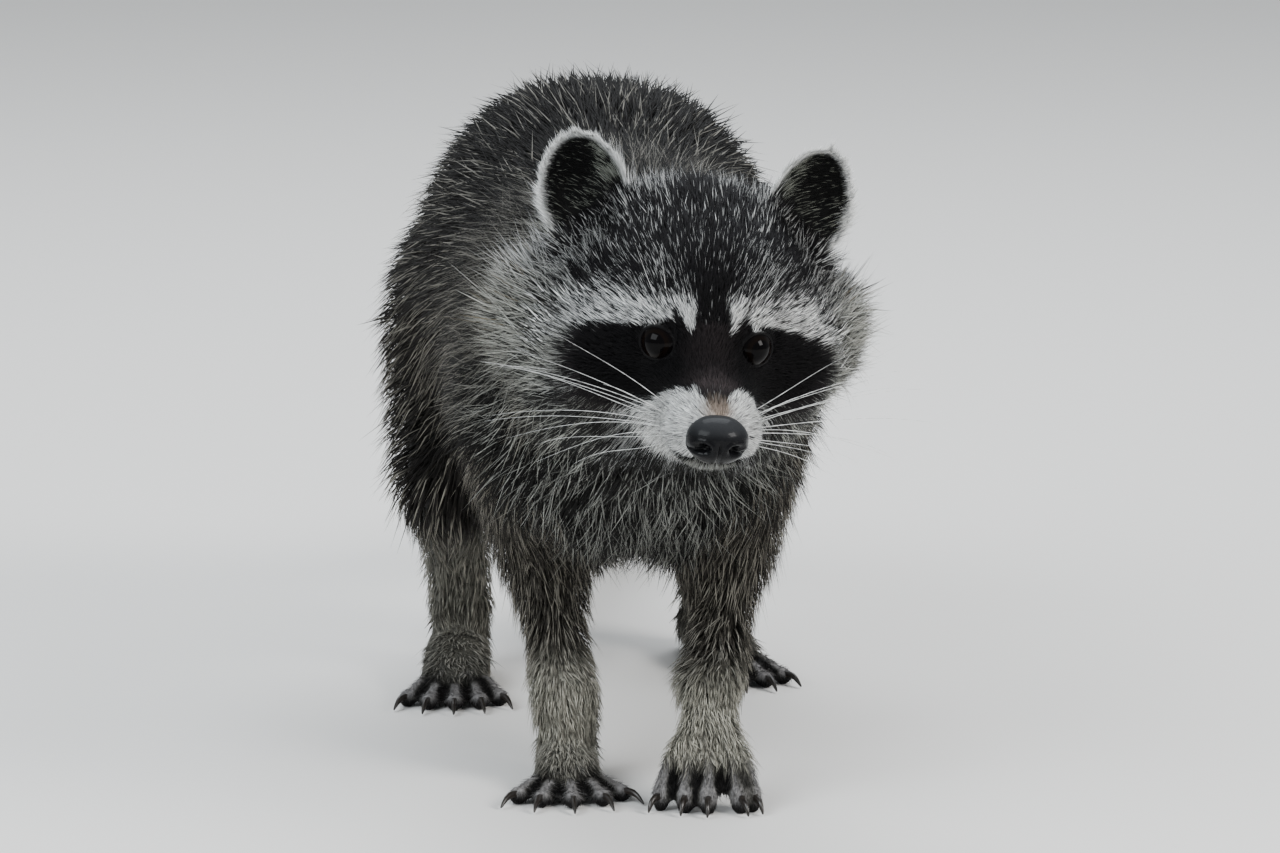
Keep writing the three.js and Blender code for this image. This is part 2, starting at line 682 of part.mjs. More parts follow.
const raccoon = new THREE.Group();
for (const [name, { solid, material }] of parts) {
  const mesh = new THREE.Mesh(geometryOf(solid), materials[material]);
  mesh.name = name;
  raccoon.add(mesh);
}
const box = new THREE.Box3().setFromObject(raccoon, true);
const middle = box.getCenter(new THREE.Vector3());
raccoon.position.set(-middle.x, -middle.y, 0);

export default raccoon;
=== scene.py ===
import math

import bpy
import numpy as np
from mathutils import Euler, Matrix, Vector
from mathutils.bvhtree import BVHTree
from mathutils.kdtree import KDTree


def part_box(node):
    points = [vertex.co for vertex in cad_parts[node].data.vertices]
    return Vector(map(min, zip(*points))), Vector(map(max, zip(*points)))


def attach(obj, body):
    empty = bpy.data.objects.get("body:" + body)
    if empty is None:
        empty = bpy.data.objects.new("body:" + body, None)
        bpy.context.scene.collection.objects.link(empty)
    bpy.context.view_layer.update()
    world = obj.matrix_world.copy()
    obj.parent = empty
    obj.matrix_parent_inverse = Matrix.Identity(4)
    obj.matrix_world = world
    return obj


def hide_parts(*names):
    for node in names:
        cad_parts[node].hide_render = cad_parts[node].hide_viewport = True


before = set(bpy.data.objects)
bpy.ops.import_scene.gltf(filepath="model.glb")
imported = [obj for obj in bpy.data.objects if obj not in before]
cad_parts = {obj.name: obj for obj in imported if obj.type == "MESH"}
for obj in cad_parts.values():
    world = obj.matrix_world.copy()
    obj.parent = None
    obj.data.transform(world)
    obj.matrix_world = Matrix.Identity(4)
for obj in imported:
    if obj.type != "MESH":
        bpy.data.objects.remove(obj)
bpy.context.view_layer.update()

chance = np.random.default_rng(7)
mm = 0.001  # places below are worked out in millimetres and set in metres


# small helpers
def ramp(low, high, value):
    share = np.clip((value - low) / (high - low), 0.0, 1.0)
    return share * share * (3 - 2 * share)


def mixed(first, second, share):
    return first + (second - first) * np.asarray(share)[..., None]


def unit(vectors):
    length = np.linalg.norm(vectors, axis=-1, keepdims=True)
    return vectors / np.maximum(length, 1e-9)


def middleOf(node):
    low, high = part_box(node)
    return np.array((low + high) / 2) / mm


def only(*things):
    bpy.ops.object.select_all(action="DESELECT")
    for thing in things:
        thing.select_set(True)
    bpy.context.view_layer.objects.active = things[-1]


def finishedWith(thing, kind, **values):
    only(thing)
    modifier = thing.modifiers.new(kind.title(), kind)
    for key, value in values.items():
        setattr(modifier, key, value)
    bpy.ops.object.modifier_apply(modifier=modifier.name)


def editing(thing, *steps):
    only(thing)
    bpy.ops.object.mode_set(mode="EDIT")
    for step in steps:
        step()
    bpy.ops.object.mode_set(mode="OBJECT")


def placesOf(mesh):
    found = np.empty(len(mesh.vertices) * 3, np.float32)
    mesh.vertices.foreach_get("co", found)
    return found.reshape(-1, 3).astype(float) / mm


def setPlaces(mesh, places):
    mesh.vertices.foreach_set("co", (places * mm).astype(np.float32).ravel())
    mesh.update()


def normalsOf(mesh):
    found = np.empty(len(mesh.vertices) * 3, np.float32)
    mesh.vertex_normals.foreach_get("vector", found)
    return found.reshape(-1, 3).astype(float)


def mergedCopy(name, nodes):
    copies = []
    for node in nodes:
        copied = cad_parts[node].copy()
        copied.data = copied.data.copy()
        copied.parent = None
        for key in list(copied.keys()):
            del copied[key]
        copied.data.materials.clear()
        bpy.context.scene.collection.objects.link(copied)
        copies.append(copied)
    only(*copies)
    if len(copies) > 1:
        bpy.ops.object.join()
    whole = bpy.context.view_layer.objects.active
    whole.name = whole.data.name = name
    bpy.ops.mesh.customdata_custom_splitnormals_clear()
    editing(
        whole,
        lambda: bpy.ops.mesh.select_all(action="SELECT"),
        lambda: bpy.ops.mesh.remove_doubles(threshold=0.00001),
    )
    return whole


def meshPiece(name, places, triangles):  # a mesh from its points and triangles
    mesh = bpy.data.meshes.new(name)
    mesh.vertices.add(len(places))
    setPlaces(mesh, places)
    mesh.loops.add(triangles.size)
    mesh.loops.foreach_set("vertex_index", triangles.astype(np.int32).ravel())
    mesh.polygons.add(len(triangles))
    mesh.polygons.foreach_set("loop_start", np.arange(0, triangles.size, 3, dtype=np.int32))
    mesh.update(calc_edges=True)
    piece = bpy.data.objects.new(name, mesh)
    bpy.context.scene.collection.objects.link(piece)
    mesh.shade_smooth()
    return piece


def setColours(mesh, name, colours):
    layer = mesh.attributes.new(name, "FLOAT_COLOR", "POINT")
    whole = np.ones((len(colours), 4), np.float32)
    whole[:, :3] = colours
    layer.data.foreach_set("color", whole.ravel())


def setShares(mesh, name, values):
    layer = mesh.attributes.new(name, "FLOAT", "POINT")
    layer.data.foreach_set("value", np.asarray(values, np.float32))


def drift(places, width, seed):  # slow waves through space, from -1 to 1
    waves = np.random.default_rng(seed)
    total = 0
    for _ in range(5):
        heading = unit(waves.normal(size=3)) * 2 * np.pi / width / waves.uniform(0.6, 1.6)
        total = total + np.sin(places @ heading + waves.uniform(0, 6.3))
    return total / 3


# the head's own frame: x to its left, -y ahead, z up
headFrame = {
    "noseAhead": -51.73,  # the nose from between the eyes, along y
    "noseBelow": -21.12,  # and along z
    "eyesAhead": 5.27,  # the eyes from the frame's own middle
    "eyesAbove": 2.12,
}
eyeLeft, eyeRight, noseMiddle = middleOf("eye_left"), middleOf("eye_right"), middleOf("nose")
betweenEyes = (eyeLeft + eyeRight) / 2
headAcross = unit(eyeLeft - eyeRight)
eyesToNose = unit(noseMiddle - betweenEyes)
upright = np.cross(headAcross, eyesToNose)
ahead, below = headFrame["noseAhead"], headFrame["noseBelow"]
headBack = (ahead * eyesToNose - below * upright) / math.hypot(ahead, below)
headUp = (below * eyesToNose + ahead * upright) / math.hypot(ahead, below)
headAxes = np.stack([headAcross, headBack, headUp])
headPlace = betweenEyes + headFrame["eyesAhead"] * headBack - headFrame["eyesAbove"] * headUp


def inHead(places):
    return (places - headPlace) @ headAxes.T


def fromHead(local):
    return np.asarray(local, float) @ headAxes + headPlace


# camera, floor and studio light
view = {
    "azimuth": -5,
    "elevation": 10,
    "distance": 3.2,
    "lens": 225,
    "sensor": 36,
    "farthest": 50,
    "offset": (-25.9, 5.55, -34.24),  # from between the eyes to where the camera looks
}
turn, rise = math.radians(view["azimuth"]), math.radians(view["elevation"])
away = Vector((math.sin(turn) * math.cos(rise), -math.cos(turn) * math.cos(rise), math.sin(rise)))
target = Vector((betweenEyes + np.array(view["offset"])) * mm)
cameraData = bpy.data.cameras.new("camera")
cameraData.lens = view["lens"]
cameraData.sensor_width = view["sensor"]
cameraData.clip_end = view["farthest"]
camera = bpy.data.objects.new("camera", cameraData)
bpy.context.scene.collection.objects.link(camera)
camera.location = target + away * view["distance"]
camera.rotation_euler = (-away).to_track_quat("-Z", "Y").to_euler()
bpy.context.scene.camera = camera


def newMaterial(name):
    made = bpy.data.materials.new(name)
    made.use_nodes = True
    return made, made.node_tree.nodes, made.node_tree.links, made.node_tree.nodes["Principled BSDF"]


studio = {
    "floor": (40, (0.80, 0.79, 0.77, 1), 0.8),  # its side in metres, its colour and its roughness
    "world": ((0.86, 0.90, 0.94, 1), 0.56),  # its colour and its strength
}
lights = {  # each one's place and span in metres, its power and its colour
    "windowLeft": ((-1.8, -1.7, 1.9), (2.1, 1.6), 80, (0.92, 0.97, 1.0)),
    "windowRight": ((1.7, -1.5, 1.5), (1.0, 1.0), 60, (1.0, 0.98, 0.95)),
    "skylight": ((0.1, 1.0, 2.0), (1.6, 1.6), 46, (0.92, 0.96, 1.0)),
}


def paleFloor():
    side, colour, roughness = studio["floor"]
    bpy.ops.object.select_all(action="DESELECT")
    bpy.ops.mesh.primitive_plane_add(size=side)
    floor = bpy.context.active_object
    floor.name = "floor"
    made, _, _, shader = newMaterial("paleFloor")
    shader.inputs["Base Color"].default_value = colour
    shader.inputs["Roughness"].default_value = roughness
    floor.data.materials.append(made)


def softLight(name, place, span, power, colour):
    data = bpy.data.lights.new(name, "AREA")
    data.shape = "RECTANGLE"
    data.size, data.size_y = span
    data.energy = power
    data.color = colour
    light = bpy.data.objects.new(name, data)
    bpy.context.scene.collection.objects.link(light)
    light.location = place
    light.rotation_euler = (target - Vector(place)).to_track_quat("-Z", "Y").to_euler()


def studioWorld():
    world = bpy.data.worlds.new("studio")
    bpy.context.scene.world = world
    world.use_nodes = True
    background = world.node_tree.nodes["Background"].inputs
    background["Color"].default_value, background["Strength"].default_value = studio["world"]


paleFloor()
for lightName, look in lights.items():
    softLight(lightName, *look)
studioWorld()
print("camera, floor and lights are in place")


# the skin: one closed surface inside the flesh nodes, sunk by the coat's depth
skinLook = {
    "overlap": 0.25,  # how far each copied node swells, so that the nodes melt together
    "pawOverlap": 0.8,
    "voxel": 1.4,
    "triangles": 170000,
    "lidOpening": (7.2, 6.4),  # half the eye's opening, across and up
    "lidSunk": 2.2,  # how far the socket lies inside the eyeball's surface
    "lidRise": 2.8,  # and how far the lids stand out from there
    "gazeLeft": (26, 6),  # outward and up, in degrees
    "gazeRight": (32, 6),
    "lipGroove": 2.0,
    "sole": 8,  # below this height the soles are drawn down flat
    "clearance": 0.05,  # what keeps the soles, claws and hair off the floor
}
separate = ("eye_", "nose", "claw_")
fleshNodes = sorted(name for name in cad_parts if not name.startswith(separate))
pawNodes = [node for node in fleshNodes if "paw" in node]
fine = ("head", "ear", "lower_jaw", "forepaw", "hindpaw")
fineNodes = [node for node in fleshNodes if node.startswith(fine)]


def besideNodes(places, nodes, margin):
    beside = np.zeros(len(places), bool)
    for node in nodes:
        low, high = (np.array(corner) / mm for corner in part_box(node))
        beside |= ((places > low - margin) & (places < high + margin)).all(1)
    return beside


def skinSurface():
    skin = mergedCopy("skin", [*fleshNodes, "eye_left", "eye_right", "nose"])
    inPaws = besideNodes(placesOf(skin.data), pawNodes, 1)
    swollen = skin.vertex_groups.new(name="swollen")
    swollen.add(np.flatnonzero(inPaws).tolist(), 1.0, "REPLACE")
    swollen.add(np.flatnonzero(~inPaws).tolist(), skinLook["overlap"] / skinLook["pawOverlap"], "REPLACE")
    strength = skinLook["pawOverlap"] * mm
    finishedWith(skin, "DISPLACE", strength=strength, mid_level=0, vertex_group="swollen")
    skin.vertex_groups.clear()
    finishedWith(skin, "REMESH", mode="VOXEL", voxel_size=skinLook["voxel"] * mm)
    finishedWith(skin, "TRIANGULATE")
    kept = besideNodes(placesOf(skin.data), fineNodes, 2)
    coarse = skin.vertex_groups.new(name="coarse")
    coarse.add(np.flatnonzero(~kept).tolist(), 1.0, "REPLACE")
    share = min(1.0, skinLook["triangles"] / len(skin.data.polygons))
    finishedWith(skin, "DECIMATE", ratio=share, vertex_group="coarse", vertex_group_factor=1.0)
    skin.vertex_groups.clear()
    return skin


def nearestNodes(places):  # which flesh node each point of the skin belongs to
    corners, triangles, owner = [], [], []
    for number, node in enumerate(fleshNodes):
        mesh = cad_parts[node].data
        start = len(corners)
        corners += [Vector(vertex.co) / mm for vertex in mesh.vertices]
        for polygon in mesh.polygons:
            triangles.append([start + index for index in polygon.vertices])
            owner.append(number)
    tree = BVHTree.FromPolygons(corners, triangles)
    return np.array([owner[tree.find_nearest(place)[2]] for place in places.tolist()])


def neighboursOf(mesh):
    edges = np.empty(len(mesh.edges) * 2, np.int32)
    mesh.edges.foreach_get("vertices", edges)
    edges = edges.reshape(-1, 2)
    both = np.concatenate([edges, edges[:, ::-1]])
    both = both[np.argsort(both[:, 0], kind="stable")]
    counts = np.bincount(both[:, 0], minlength=len(mesh.vertices))
    starts = np.concatenate([[0], np.cumsum(counts)[:-1]])
    return both[:, 1], starts, counts


def evened(values, near, rounds, strength=0.5):  # each value drawn towards its neighbours' mean
    ends, starts, counts = near
    values = values.reshape(len(counts), -1)
    strength = np.broadcast_to(np.asarray(strength, float), (len(counts),))[:, None]
    for _ in range(rounds):
        mean = np.add.reduceat(values[ends], starts, axis=0) / counts[:, None]
        values = values + (mean - values) * strength
    return values


skin = skinSurface()
print("skin remeshed:", len(skin.data.polygons), "triangles")
nodeOf = nearestNodes(placesOf(skin.data))
nodeStarts = {node: nodeOf == number for number, node in enumerate(fleshNodes)}


def onNodes(*starts):
    return sum(nodeStarts[node] for node in fleshNodes if node.startswith(starts)) > 0


# the tail's middle line: its root, its bend and its tip, as shares of the tail's box
tailLine = ((0.45, 0.03, 1.107), (0.488, 0.42, 0.131), (0.809, 0.949, 0.169))


def tailShare(places):  # how far down the tail each place is, and which way the tail runs there
    low, high = (np.array(corner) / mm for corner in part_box("tail"))
    ends = [low + (high - low) * np.array(part) for part in tailLine]
    steps = np.linspace(0, 1, 60)[:, None]
    curve = ends[0] * (1 - steps) ** 2 + 2 * ends[1] * steps * (1 - steps) + ends[2] * steps**2
    heading = unit(np.gradient(curve, axis=0))
    far = np.linalg.norm(places[:, None, :] - curve[None], axis=2)
    closest = far.argmin(1)
    lengths = np.concatenate([[0], np.cumsum(np.linalg.norm(np.diff(curve, axis=0), axis=1))])
    along = lengths[closest] + ((places - curve[closest]) * heading[closest]).sum(1)
    return along / lengths[-1], heading[closest]


def fromClaws(places):
    claws = np.array([middleOf(node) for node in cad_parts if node.startswith("claw")])
    return np.linalg.norm(places[:, None] - claws[None], axis=2).min(1)


bodyDepth = 14.0
earDepth = 0.9
limbDepths = {  # how deep the coat is, how much deeper it grows up the limb, and between which heights
    "upper_arm": (11, 0, 0, 1),
    "forearm": (3, 7, 45, 95),
    "thigh": (12, 0, 0, 1),
    "shank": (3.5, 6.5, 45, 120),
    "forepaw": (1.8, 2.0, 18, 36),
    "hindpaw": (1.8, 2.0, 18, 36),
}


def headDepth(local):
    x, y, z = np.abs(local[:, 0]), local[:, 1], local[:, 2]
    face = 1.5 + 1.3 * ramp(-25, 5, y)
    crown = 1.6 * ramp(12, 70, y) * ramp(10, 25, z)
    cheek = 9 * ramp(34, 64, x) * ramp(0, 30, y)
    throat = 8 * ramp(-28, -42, z) * ramp(-20, 20, y)
    return face + np.maximum.reduce([crown, cheek, throat])


def coatDepth(places):  # how far the skin lies below the coat's tips
    depth = np.full(len(places), bodyDepth)
    onHead, onTail = onNodes("head", "lower_jaw"), onNodes("tail")
    depth[onHead] = headDepth(inHead(places))[onHead]
    depth[onNodes("ear")] = earDepth
    depth[onTail] = (12 - 6 * ramp(0.8, 0.97, tailShare(places)[0]))[onTail]
    for limb, (least, more, low, high) in limbDepths.items():
        own = onNodes(limb)
        depth[own] = (least + more * ramp(low, high, places[:, 2]))[own]
    return depth


places = placesOf(skin.data)
near = neighboursOf(skin.data)
depths = coatDepth(places)
rough = np.full(len(places), 60.0)  # how strongly each part of the skin is evened
rough[onNodes("tail")] = 25
rough[onNodes("upper_arm", "forearm", "thigh", "shank")] = 12
rough[onNodes("head", "lower_jaw")] = 40
rough[onNodes("ear", "forepaw", "hindpaw")] = 4
rough = evened(rough, near, 6)[:, 0]
for level, rounds in ((4, 4), (10, 6), (25, 15), (60, 35)):
    places = evened(places, near, rounds, 0.5 * np.clip((rough - level * 0.6) / (level * 0.4), 0, 1))
onEar = onNodes("ear")
for _ in range(36):
    depths = evened(depths, near, 1)[:, 0]
    depths[onEar] = earDepth
depths *= 0.1 + 0.9 * ramp(6, 14, fromClaws(places))  # the toes hold their claws
soft = evened(onNodes("head", "neck", "trunk", "upper_arm", "thigh") * 1.0, near, 12)
for _ in range(7):  # hollows fill out, and nothing that stands out sinks
    setPlaces(skin.data, places)
    facing = normalsOf(skin.data)
    for _ in range(8):
        step = (evened(places, near, 1) - places) * soft
        places = places + step - facing * np.minimum((step * facing).sum(1), 0)[:, None]
between = evened(onNodes("lower_jaw") * 1.0, near, 1)[:, 0]
mouth = evened((np.abs(between - 0.5) < 0.49) * 1.0, near, 3)[:, 0]
mouth = mouth * (1 - ramp(-26, -8, inHead(places)[:, 1]))
depths = depths + skinLook["lipGroove"] * mouth
for _ in range(6):
    setPlaces(skin.data, places)
    places = places - normalsOf(skin.data) * depths[:, None] / 6
    places = evened(places, near, 5, 0.5 * ramp(1.6, 6, depths))
setPlaces(skin.data, places)
print("skin sunk into the coat")


# the eyes: where they look, and the lids drawn round them
eyeball = {"radius": 9.0, "cornea": 0.7, "corneaAngle": 40, "rings": 48, "spokes": 64}


def gazeFrame(side):
    outward, up = (math.radians(angle) for angle in skinLook["gazeLeft" if side > 0 else "gazeRight"])
    flat = math.cos(up)
    ahead = np.array([side * math.sin(outward) * flat, -math.cos(outward) * flat, math.sin(up)])
    across = unit(np.cross(ahead, [0, 0, 1.0]))
    over = np.cross(across, ahead)
    return np.stack([across, over, ahead]) @ headAxes


eyes = {"left": (eyeLeft, gazeFrame(1)), "right": (eyeRight, gazeFrame(-1))}


def openingShare(directions, gaze):  # 1 on the lids' edge, less inside it
    across, over, ahead = (directions @ gaze.T).T
    wide, tall = (math.asin(half / eyeball["radius"]) for half in skinLook["lidOpening"])
    angle = np.arccos(np.clip(ahead, -1, 1))
    flat = np.maximum(np.hypot(across, over), 1e-9)
    limit = 1 / np.sqrt((across / flat / wide) ** 2 + (over / flat / tall) ** 2)
    return angle / limit


def drawLids(places):
    radius = eyeball["radius"]
    for middle, gaze in eyes.values():
        offset = places - middle
        away = np.linalg.norm(offset, axis=1)
        share = openingShare(offset / np.maximum(away, 1e-6)[:, None], gaze)
        wanted = radius - skinLook["lidSunk"] + skinLook["lidRise"] * ramp(0.84, 1.04, share)
        hold = (1 - ramp(1.1, 1.6, share)) * (1 - ramp(11.5, 17, away))
        moved = away + (wanted - away) * hold
        places = middle + offset / np.maximum(away, 1e-6)[:, None] * moved[:, None]
    return places


def finerAt(thing, middles, radius):
    places = placesOf(thing.data)
    chosen = np.zeros(len(places), bool)
    for middle in middles:
        chosen |= np.linalg.norm(places - middle, axis=1) < radius
    thing.data.vertices.foreach_set("select", chosen)
    corners = np.empty(len(thing.data.loops), np.int32)
    thing.data.loops.foreach_get("vertex_index", corners)
    whole = chosen[corners.reshape(-1, 3)].all(1)
    thing.data.polygons.foreach_set("select", whole)
    ends = np.empty(len(thing.data.edges) * 2, np.int32)
    thing.data.edges.foreach_get("vertices", ends)
    thing.data.edges.foreach_set("select", chosen[ends.reshape(-1, 2)].all(1))
    editing(
        thing,
        lambda: bpy.ops.mesh.subdivide(number_cuts=1),
        lambda: bpy.ops.mesh.select_all(action="SELECT"),
        lambda: bpy.ops.mesh.quads_convert_to_tris(),
    )


def sharesOf(mesh, name):
    found = np.empty(len(mesh.vertices), np.float32)
    mesh.attributes[name].data.foreach_get("value", found)
    return found.astype(float)


def flatUnderfoot(places):
    sole, clearance = skinLook["sole"], skinLook["clearance"]
    for node in pawNodes:
        own = nodeStarts[node] & (places[:, 2] < sole)
        low = places[own, 2].min()
        places[own, 2] = (places[own, 2] - low) * sole / (sole - low) + clearance
    places[:, 2] = np.maximum(places[:, 2], clearance)
    return places


setShares(skin.data, "depth", depths)
setShares(skin.data, "nodeNumber", nodeOf)
setShares(skin.data, "lipLine", mouth)
finerAt(skin, [eyeLeft, eyeRight], 15)
places = placesOf(skin.data)
near = neighboursOf(skin.data)
depths = sharesOf(skin.data, "depth")
lipLine = sharesOf(skin.data, "lipLine")
nodeOf = np.rint(sharesOf(skin.data, "nodeNumber")).astype(int)
nodeStarts = {node: nodeOf == number for number, node in enumerate(fleshNodes)}
places = flatUnderfoot(places)
byEye = np.minimum.reduce([np.linalg.norm(places - eye, axis=1) for eye in (eyeLeft, eyeRight)])
places = drawLids(places)
places = evened(places, near, 1, 0.35 * (1 - ramp(12, 16, byEye)))
setPlaces(skin.data, places)
normals = normalsOf(skin.data)
print("skin finished:", len(skin.data.polygons), "triangles")


# the coat's colours, by place: the head's in its own frame, the body's by limb
paint = {
    "white": (0.84, 0.85, 0.84),
    "pale": (0.27, 0.275, 0.255),
    "tan": (0.40, 0.32, 0.26),
    "mask": (0.0040, 0.0036, 0.0042),
    "bridge": (0.018, 0.0145, 0.0155),
    "bridgeLow": (0.070, 0.056, 0.057),
    "stripe": (0.0055, 0.0050, 0.0056),
    "crown": (0.0080, 0.0076, 0.0088),
    "crownTip": (0.60, 0.61, 0.60),
    "ruff": (0.018, 0.0175, 0.0165),
    "ruffTip": (0.66, 0.67, 0.61),
    "buff": (0.17, 0.145, 0.10),
    "throat": (0.0085, 0.0085, 0.0080),
    "throatTip": (0.50, 0.51, 0.47),
    "back": (0.0075, 0.0070, 0.0068),
    "backTip": (0.28, 0.27, 0.24),
    "flank": (0.0145, 0.0128, 0.0112),
    "flankTip": (0.31, 0.29, 0.245),
    "belly": (0.046, 0.041, 0.035),
    "arm": (0.036, 0.033, 0.028),
    "wrist": (0.40, 0.39, 0.33),
    "hand": (0.095, 0.092, 0.082),
    "finger": (0.17, 0.165, 0.165),
    "ring": (0.012, 0.010, 0.010),
    "tailPale": (0.17, 0.145, 0.105),
    "padAndToeShade": (0.007, 0.0065, 0.0065),
    "earInside": (0.0035, 0.0037, 0.0037),
    "earHair": (0.36, 0.38, 0.33),
    "earBack": (0.026, 0.025, 0.024),
}
paint = {name: np.array(colour) for name, colour in paint.items()}
maskShape = {  # each line: how far aside, then how high on the face
    "browLow": ((0, 14, 20, 40, 52, 60, 66, 72), (9, 9, 8, 7, 4.5, 0, -8, -18)),
    "browHigh": ((14, 20, 40, 52, 63, 72), (17.5, 18.5, 20.5, 20.5, 18, 13)),
    "maskLow": ((0, 8, 14, 20, 30, 40, 50, 58), (-17, -17.5, -18.5, -20, -22, -21, -16, -9)),
    "muzzleHigh": ((0, 3, 7, 13, 18, 22, 30, 38, 46), (-30, -25, -18.5, -17.5, -19.5, -23, -27.5, -31, -33)),
    "lip": ((0, 8.5, 17.5, 21, 27, 38), (-47, -46.5, -44, -39, -36.5, -33.5)),
}


def line(name, u):
    return np.interp(u, *maskShape[name])


def laid(over, name, share, strength=1.0):
    return mixed(over, paint[name] * strength, share)


def faceSpots(local):  # each place's y and z, then how far aside and how high it is among the markings
    x, y, z = local.T
    u = np.abs(x) + 1.0 * drift(local, 12, 23)
    v = 0.94 * z + 0.34 * y + 0.9 * drift(local, 14, 21) + 0.6 * drift(local, 5, 22)
    return y, z, u, v


def cheekMarks(y, u, v):
    side = np.maximum(ramp(44, 66, u) * (1 - ramp(10, 40, v)), (1 - ramp(-30, -16, v)) * ramp(24, 38, u))
    buff = ramp(54, 72, u) * ramp(36, 60, y) * ramp(-10, 8, v) * (1 - ramp(44, 60, v))
    halo = ramp(50, 60, u) * (1 - ramp(72, 88, u)) * ramp(-26, -12, v) * (1 - ramp(4, 30, v))
    halo = halo * (1 - ramp(42, 74, y))
    under = ramp(26, 36, u) * (1 - ramp(-24, -19, v)) * ramp(-70, -44, v) * (1 - ramp(68, 84, u))
    throat = (1 - ramp(-52, -38, v)) * (1 - ramp(30, 62, u) * ramp(-74, -48, v))
    chin = (1 - ramp(8, 16, u)) * ramp(-60, -52, v) * (1 - ramp(-48, -45, v)) * (1 - ramp(-30, -10, y))
    return side, buff, halo, under, throat, chin


def browMarks(local, y, u, v):  # pale bands, frayed above, the dark stripe between them and a wisp beside it
    inner = np.interp(v, (6, 12, 16), (17, 15.5, 14))
    low, high = line("browLow", u), line("browHigh", u)
    band = ramp(inner - 1, inner + 1.2, u) * ramp(low - 1.6, low + 1.8, v) * (1 - ramp(high - 9, high + 9, v))
    band = band * (1 - 0.45 * ramp(40, 58, u)) * (1 - ramp(62, 78, u)) * (1 - ramp(45, 70, y))
    band = band * (0.64 + 0.12 * drift(local, 4, 26))
    half = np.interp(v, (5, 18, 40), (5.2, 5.2, 9))
    stripe = 0.9 * (1 - ramp(half - 3, half + 5, u)) * ramp(2, 8, v) * (1 - 0.75 * ramp(18, 44, v))
    climb = np.clip((v - 4.5) / 13.5, 0, 1.2)
    wide = 0.8 + 3.6 * climb
    wisp = 1 - ramp(wide - 1.2, wide + 1.2, np.abs(u - 8.9 - 2 * climb))
    return band, stripe, wisp * ramp(3, 7, v) * (1 - ramp(13, 24, v))


def maskMarks(y, u, v):  # the mask, and the smudge that runs out under it
    low, bottom = line("browLow", u), line("maskLow", u)
    fade = 1 + 5 * ramp(24, 50, u)
    mask = ramp(bottom - 2 - fade, bottom + 1 + fade, v) * (1 - ramp(low - 0.6 - fade, low + 1.2, v))
    mask = mask * (1 - ramp(46, 63, u)) * (1 - ramp(28, 44, y))
    smudge = ramp(22, 32, u) * (1 - ramp(50, 60, u)) * ramp(bottom - 16, bottom - 2, v)
    smudge = smudge * (1 - ramp(28, 44, y))
    return mask, smudge, 1 - ramp(low - 6, low, v)


def muzzleMarks(local, y, z, u, v):  # the white of the muzzle, and the tan patch on its bridge
    top, lip = line("muzzleHigh", u), line("lip", u)
    muzzle = (1 - ramp(top - 2.2, top + 2.2, v)) * ramp(lip - 0.8, lip + 0.8, v)
    rear = np.interp(y, (-45, -25, -19, 8), (0, -10.5, -16.5, -33))
    muzzle = muzzle * (1 - ramp(34, 46, u)) * (1 - ramp(rear - 1.5, rear + 2.5, z)) * (1 - ramp(4, 14, y))
    muzzle = muzzle * (1 - 0.35 * ramp(19, 30, u)) * (0.83 + 0.10 * drift(local, 5, 27))
    bridge = (1 - ramp(2.5, 9, u)) * (1 - ramp(-25, -19, v)) * ramp(-50, -38, v) * (1 - ramp(-34, -24, y))
    return muzzle, bridge


def headColours(local, dice=None):  # dice: which side of a marking's edge each tuft falls on
    y, z, u, v = faceSpots(local)
    side, buff, halo, under, throat, chin = cheekMarks(y, u, v)
    band, stripe, wisp = browMarks(local, y, u, v)
    mask, smudge, belowBrow = maskMarks(y, u, v)
    muzzle, bridge = muzzleMarks(local, y, z, u, v)
    plain = np.maximum.reduce([band, mask, wisp, muzzle, bridge])  # here no tips are pale

    def edged(share):
        return share if dice is None else ramp(0, 0.15, 1.15 * share - dice)

    base = np.tile(paint["crown"], (len(local), 1))
    base = laid(base, "ruff", edged(side))
    base = laid(base, "buff", edged(0.22 * buff))
    base = laid(base, "pale", edged(0.28 * halo))
    base = laid(base, "throat", edged(throat))
    base = laid(base, "pale", edged(0.9 * chin))
    base = laid(base, "white", edged(band))
    base = laid(base, "stripe", edged(stripe * (1 - ramp(60, 85, y))))
    base = laid(base, "mask", edged(mask))
    base = laid(base, "bridge", edged(0.75 * smudge * (1 - mask) * belowBrow))
    middle = mixed(paint["bridge"], paint["bridgeLow"], 1 - ramp(-19, -7, v))
    base = mixed(base, middle, (1 - ramp(2, 15, u)) * mask)
    base = laid(base, "white", edged(0.92 * wisp), 0.85)
    base = laid(base, "white", edged(muzzle))
    base = mixed(base, paint["tan"], 0.85 * bridge)
    tip = mixed(mixed(paint["crownTip"], paint["ruffTip"], side), 1.15 * base, plain)
    rear = ramp(52, 92, y)  # the head's colours run into the neck's
    base = mixed(base, paint["flank"], 0.85 * rear * side)
    tip = mixed(tip, paint["flankTip"], rear * side)

    share = 0.07 + 0.24 * (1 - ramp(22, 50, v)) * ramp(6, 24, u) + 0.07 * ramp(8, 30, u)
    crestTips = ramp(38, 58, y) * ramp(24, 38, z) * (1 - ramp(26, 38, u))
    share = share + (0.24 + 0.12 * drift(local, 18, 24)) * crestTips * ramp(2, 16, u)
    share = share + (0.46 - share) * side
    share = share + 0.15 * buff
    share = share - 0.30 * under
    share = share + (0.12 - share) * throat
    share = share * (1 - 0.85 * stripe) * (1 - 0.6 * smudge) * (1 - mask) * (1 - plain)
    return base, tip, share + (0.3 - share) * rear


def toeShare(places):  # 1 on the toes, 0 on the rest of each paw
    return (1 - ramp(22, 32, fromClaws(places))) * (1 - ramp(16, 26, places[:, 2]))


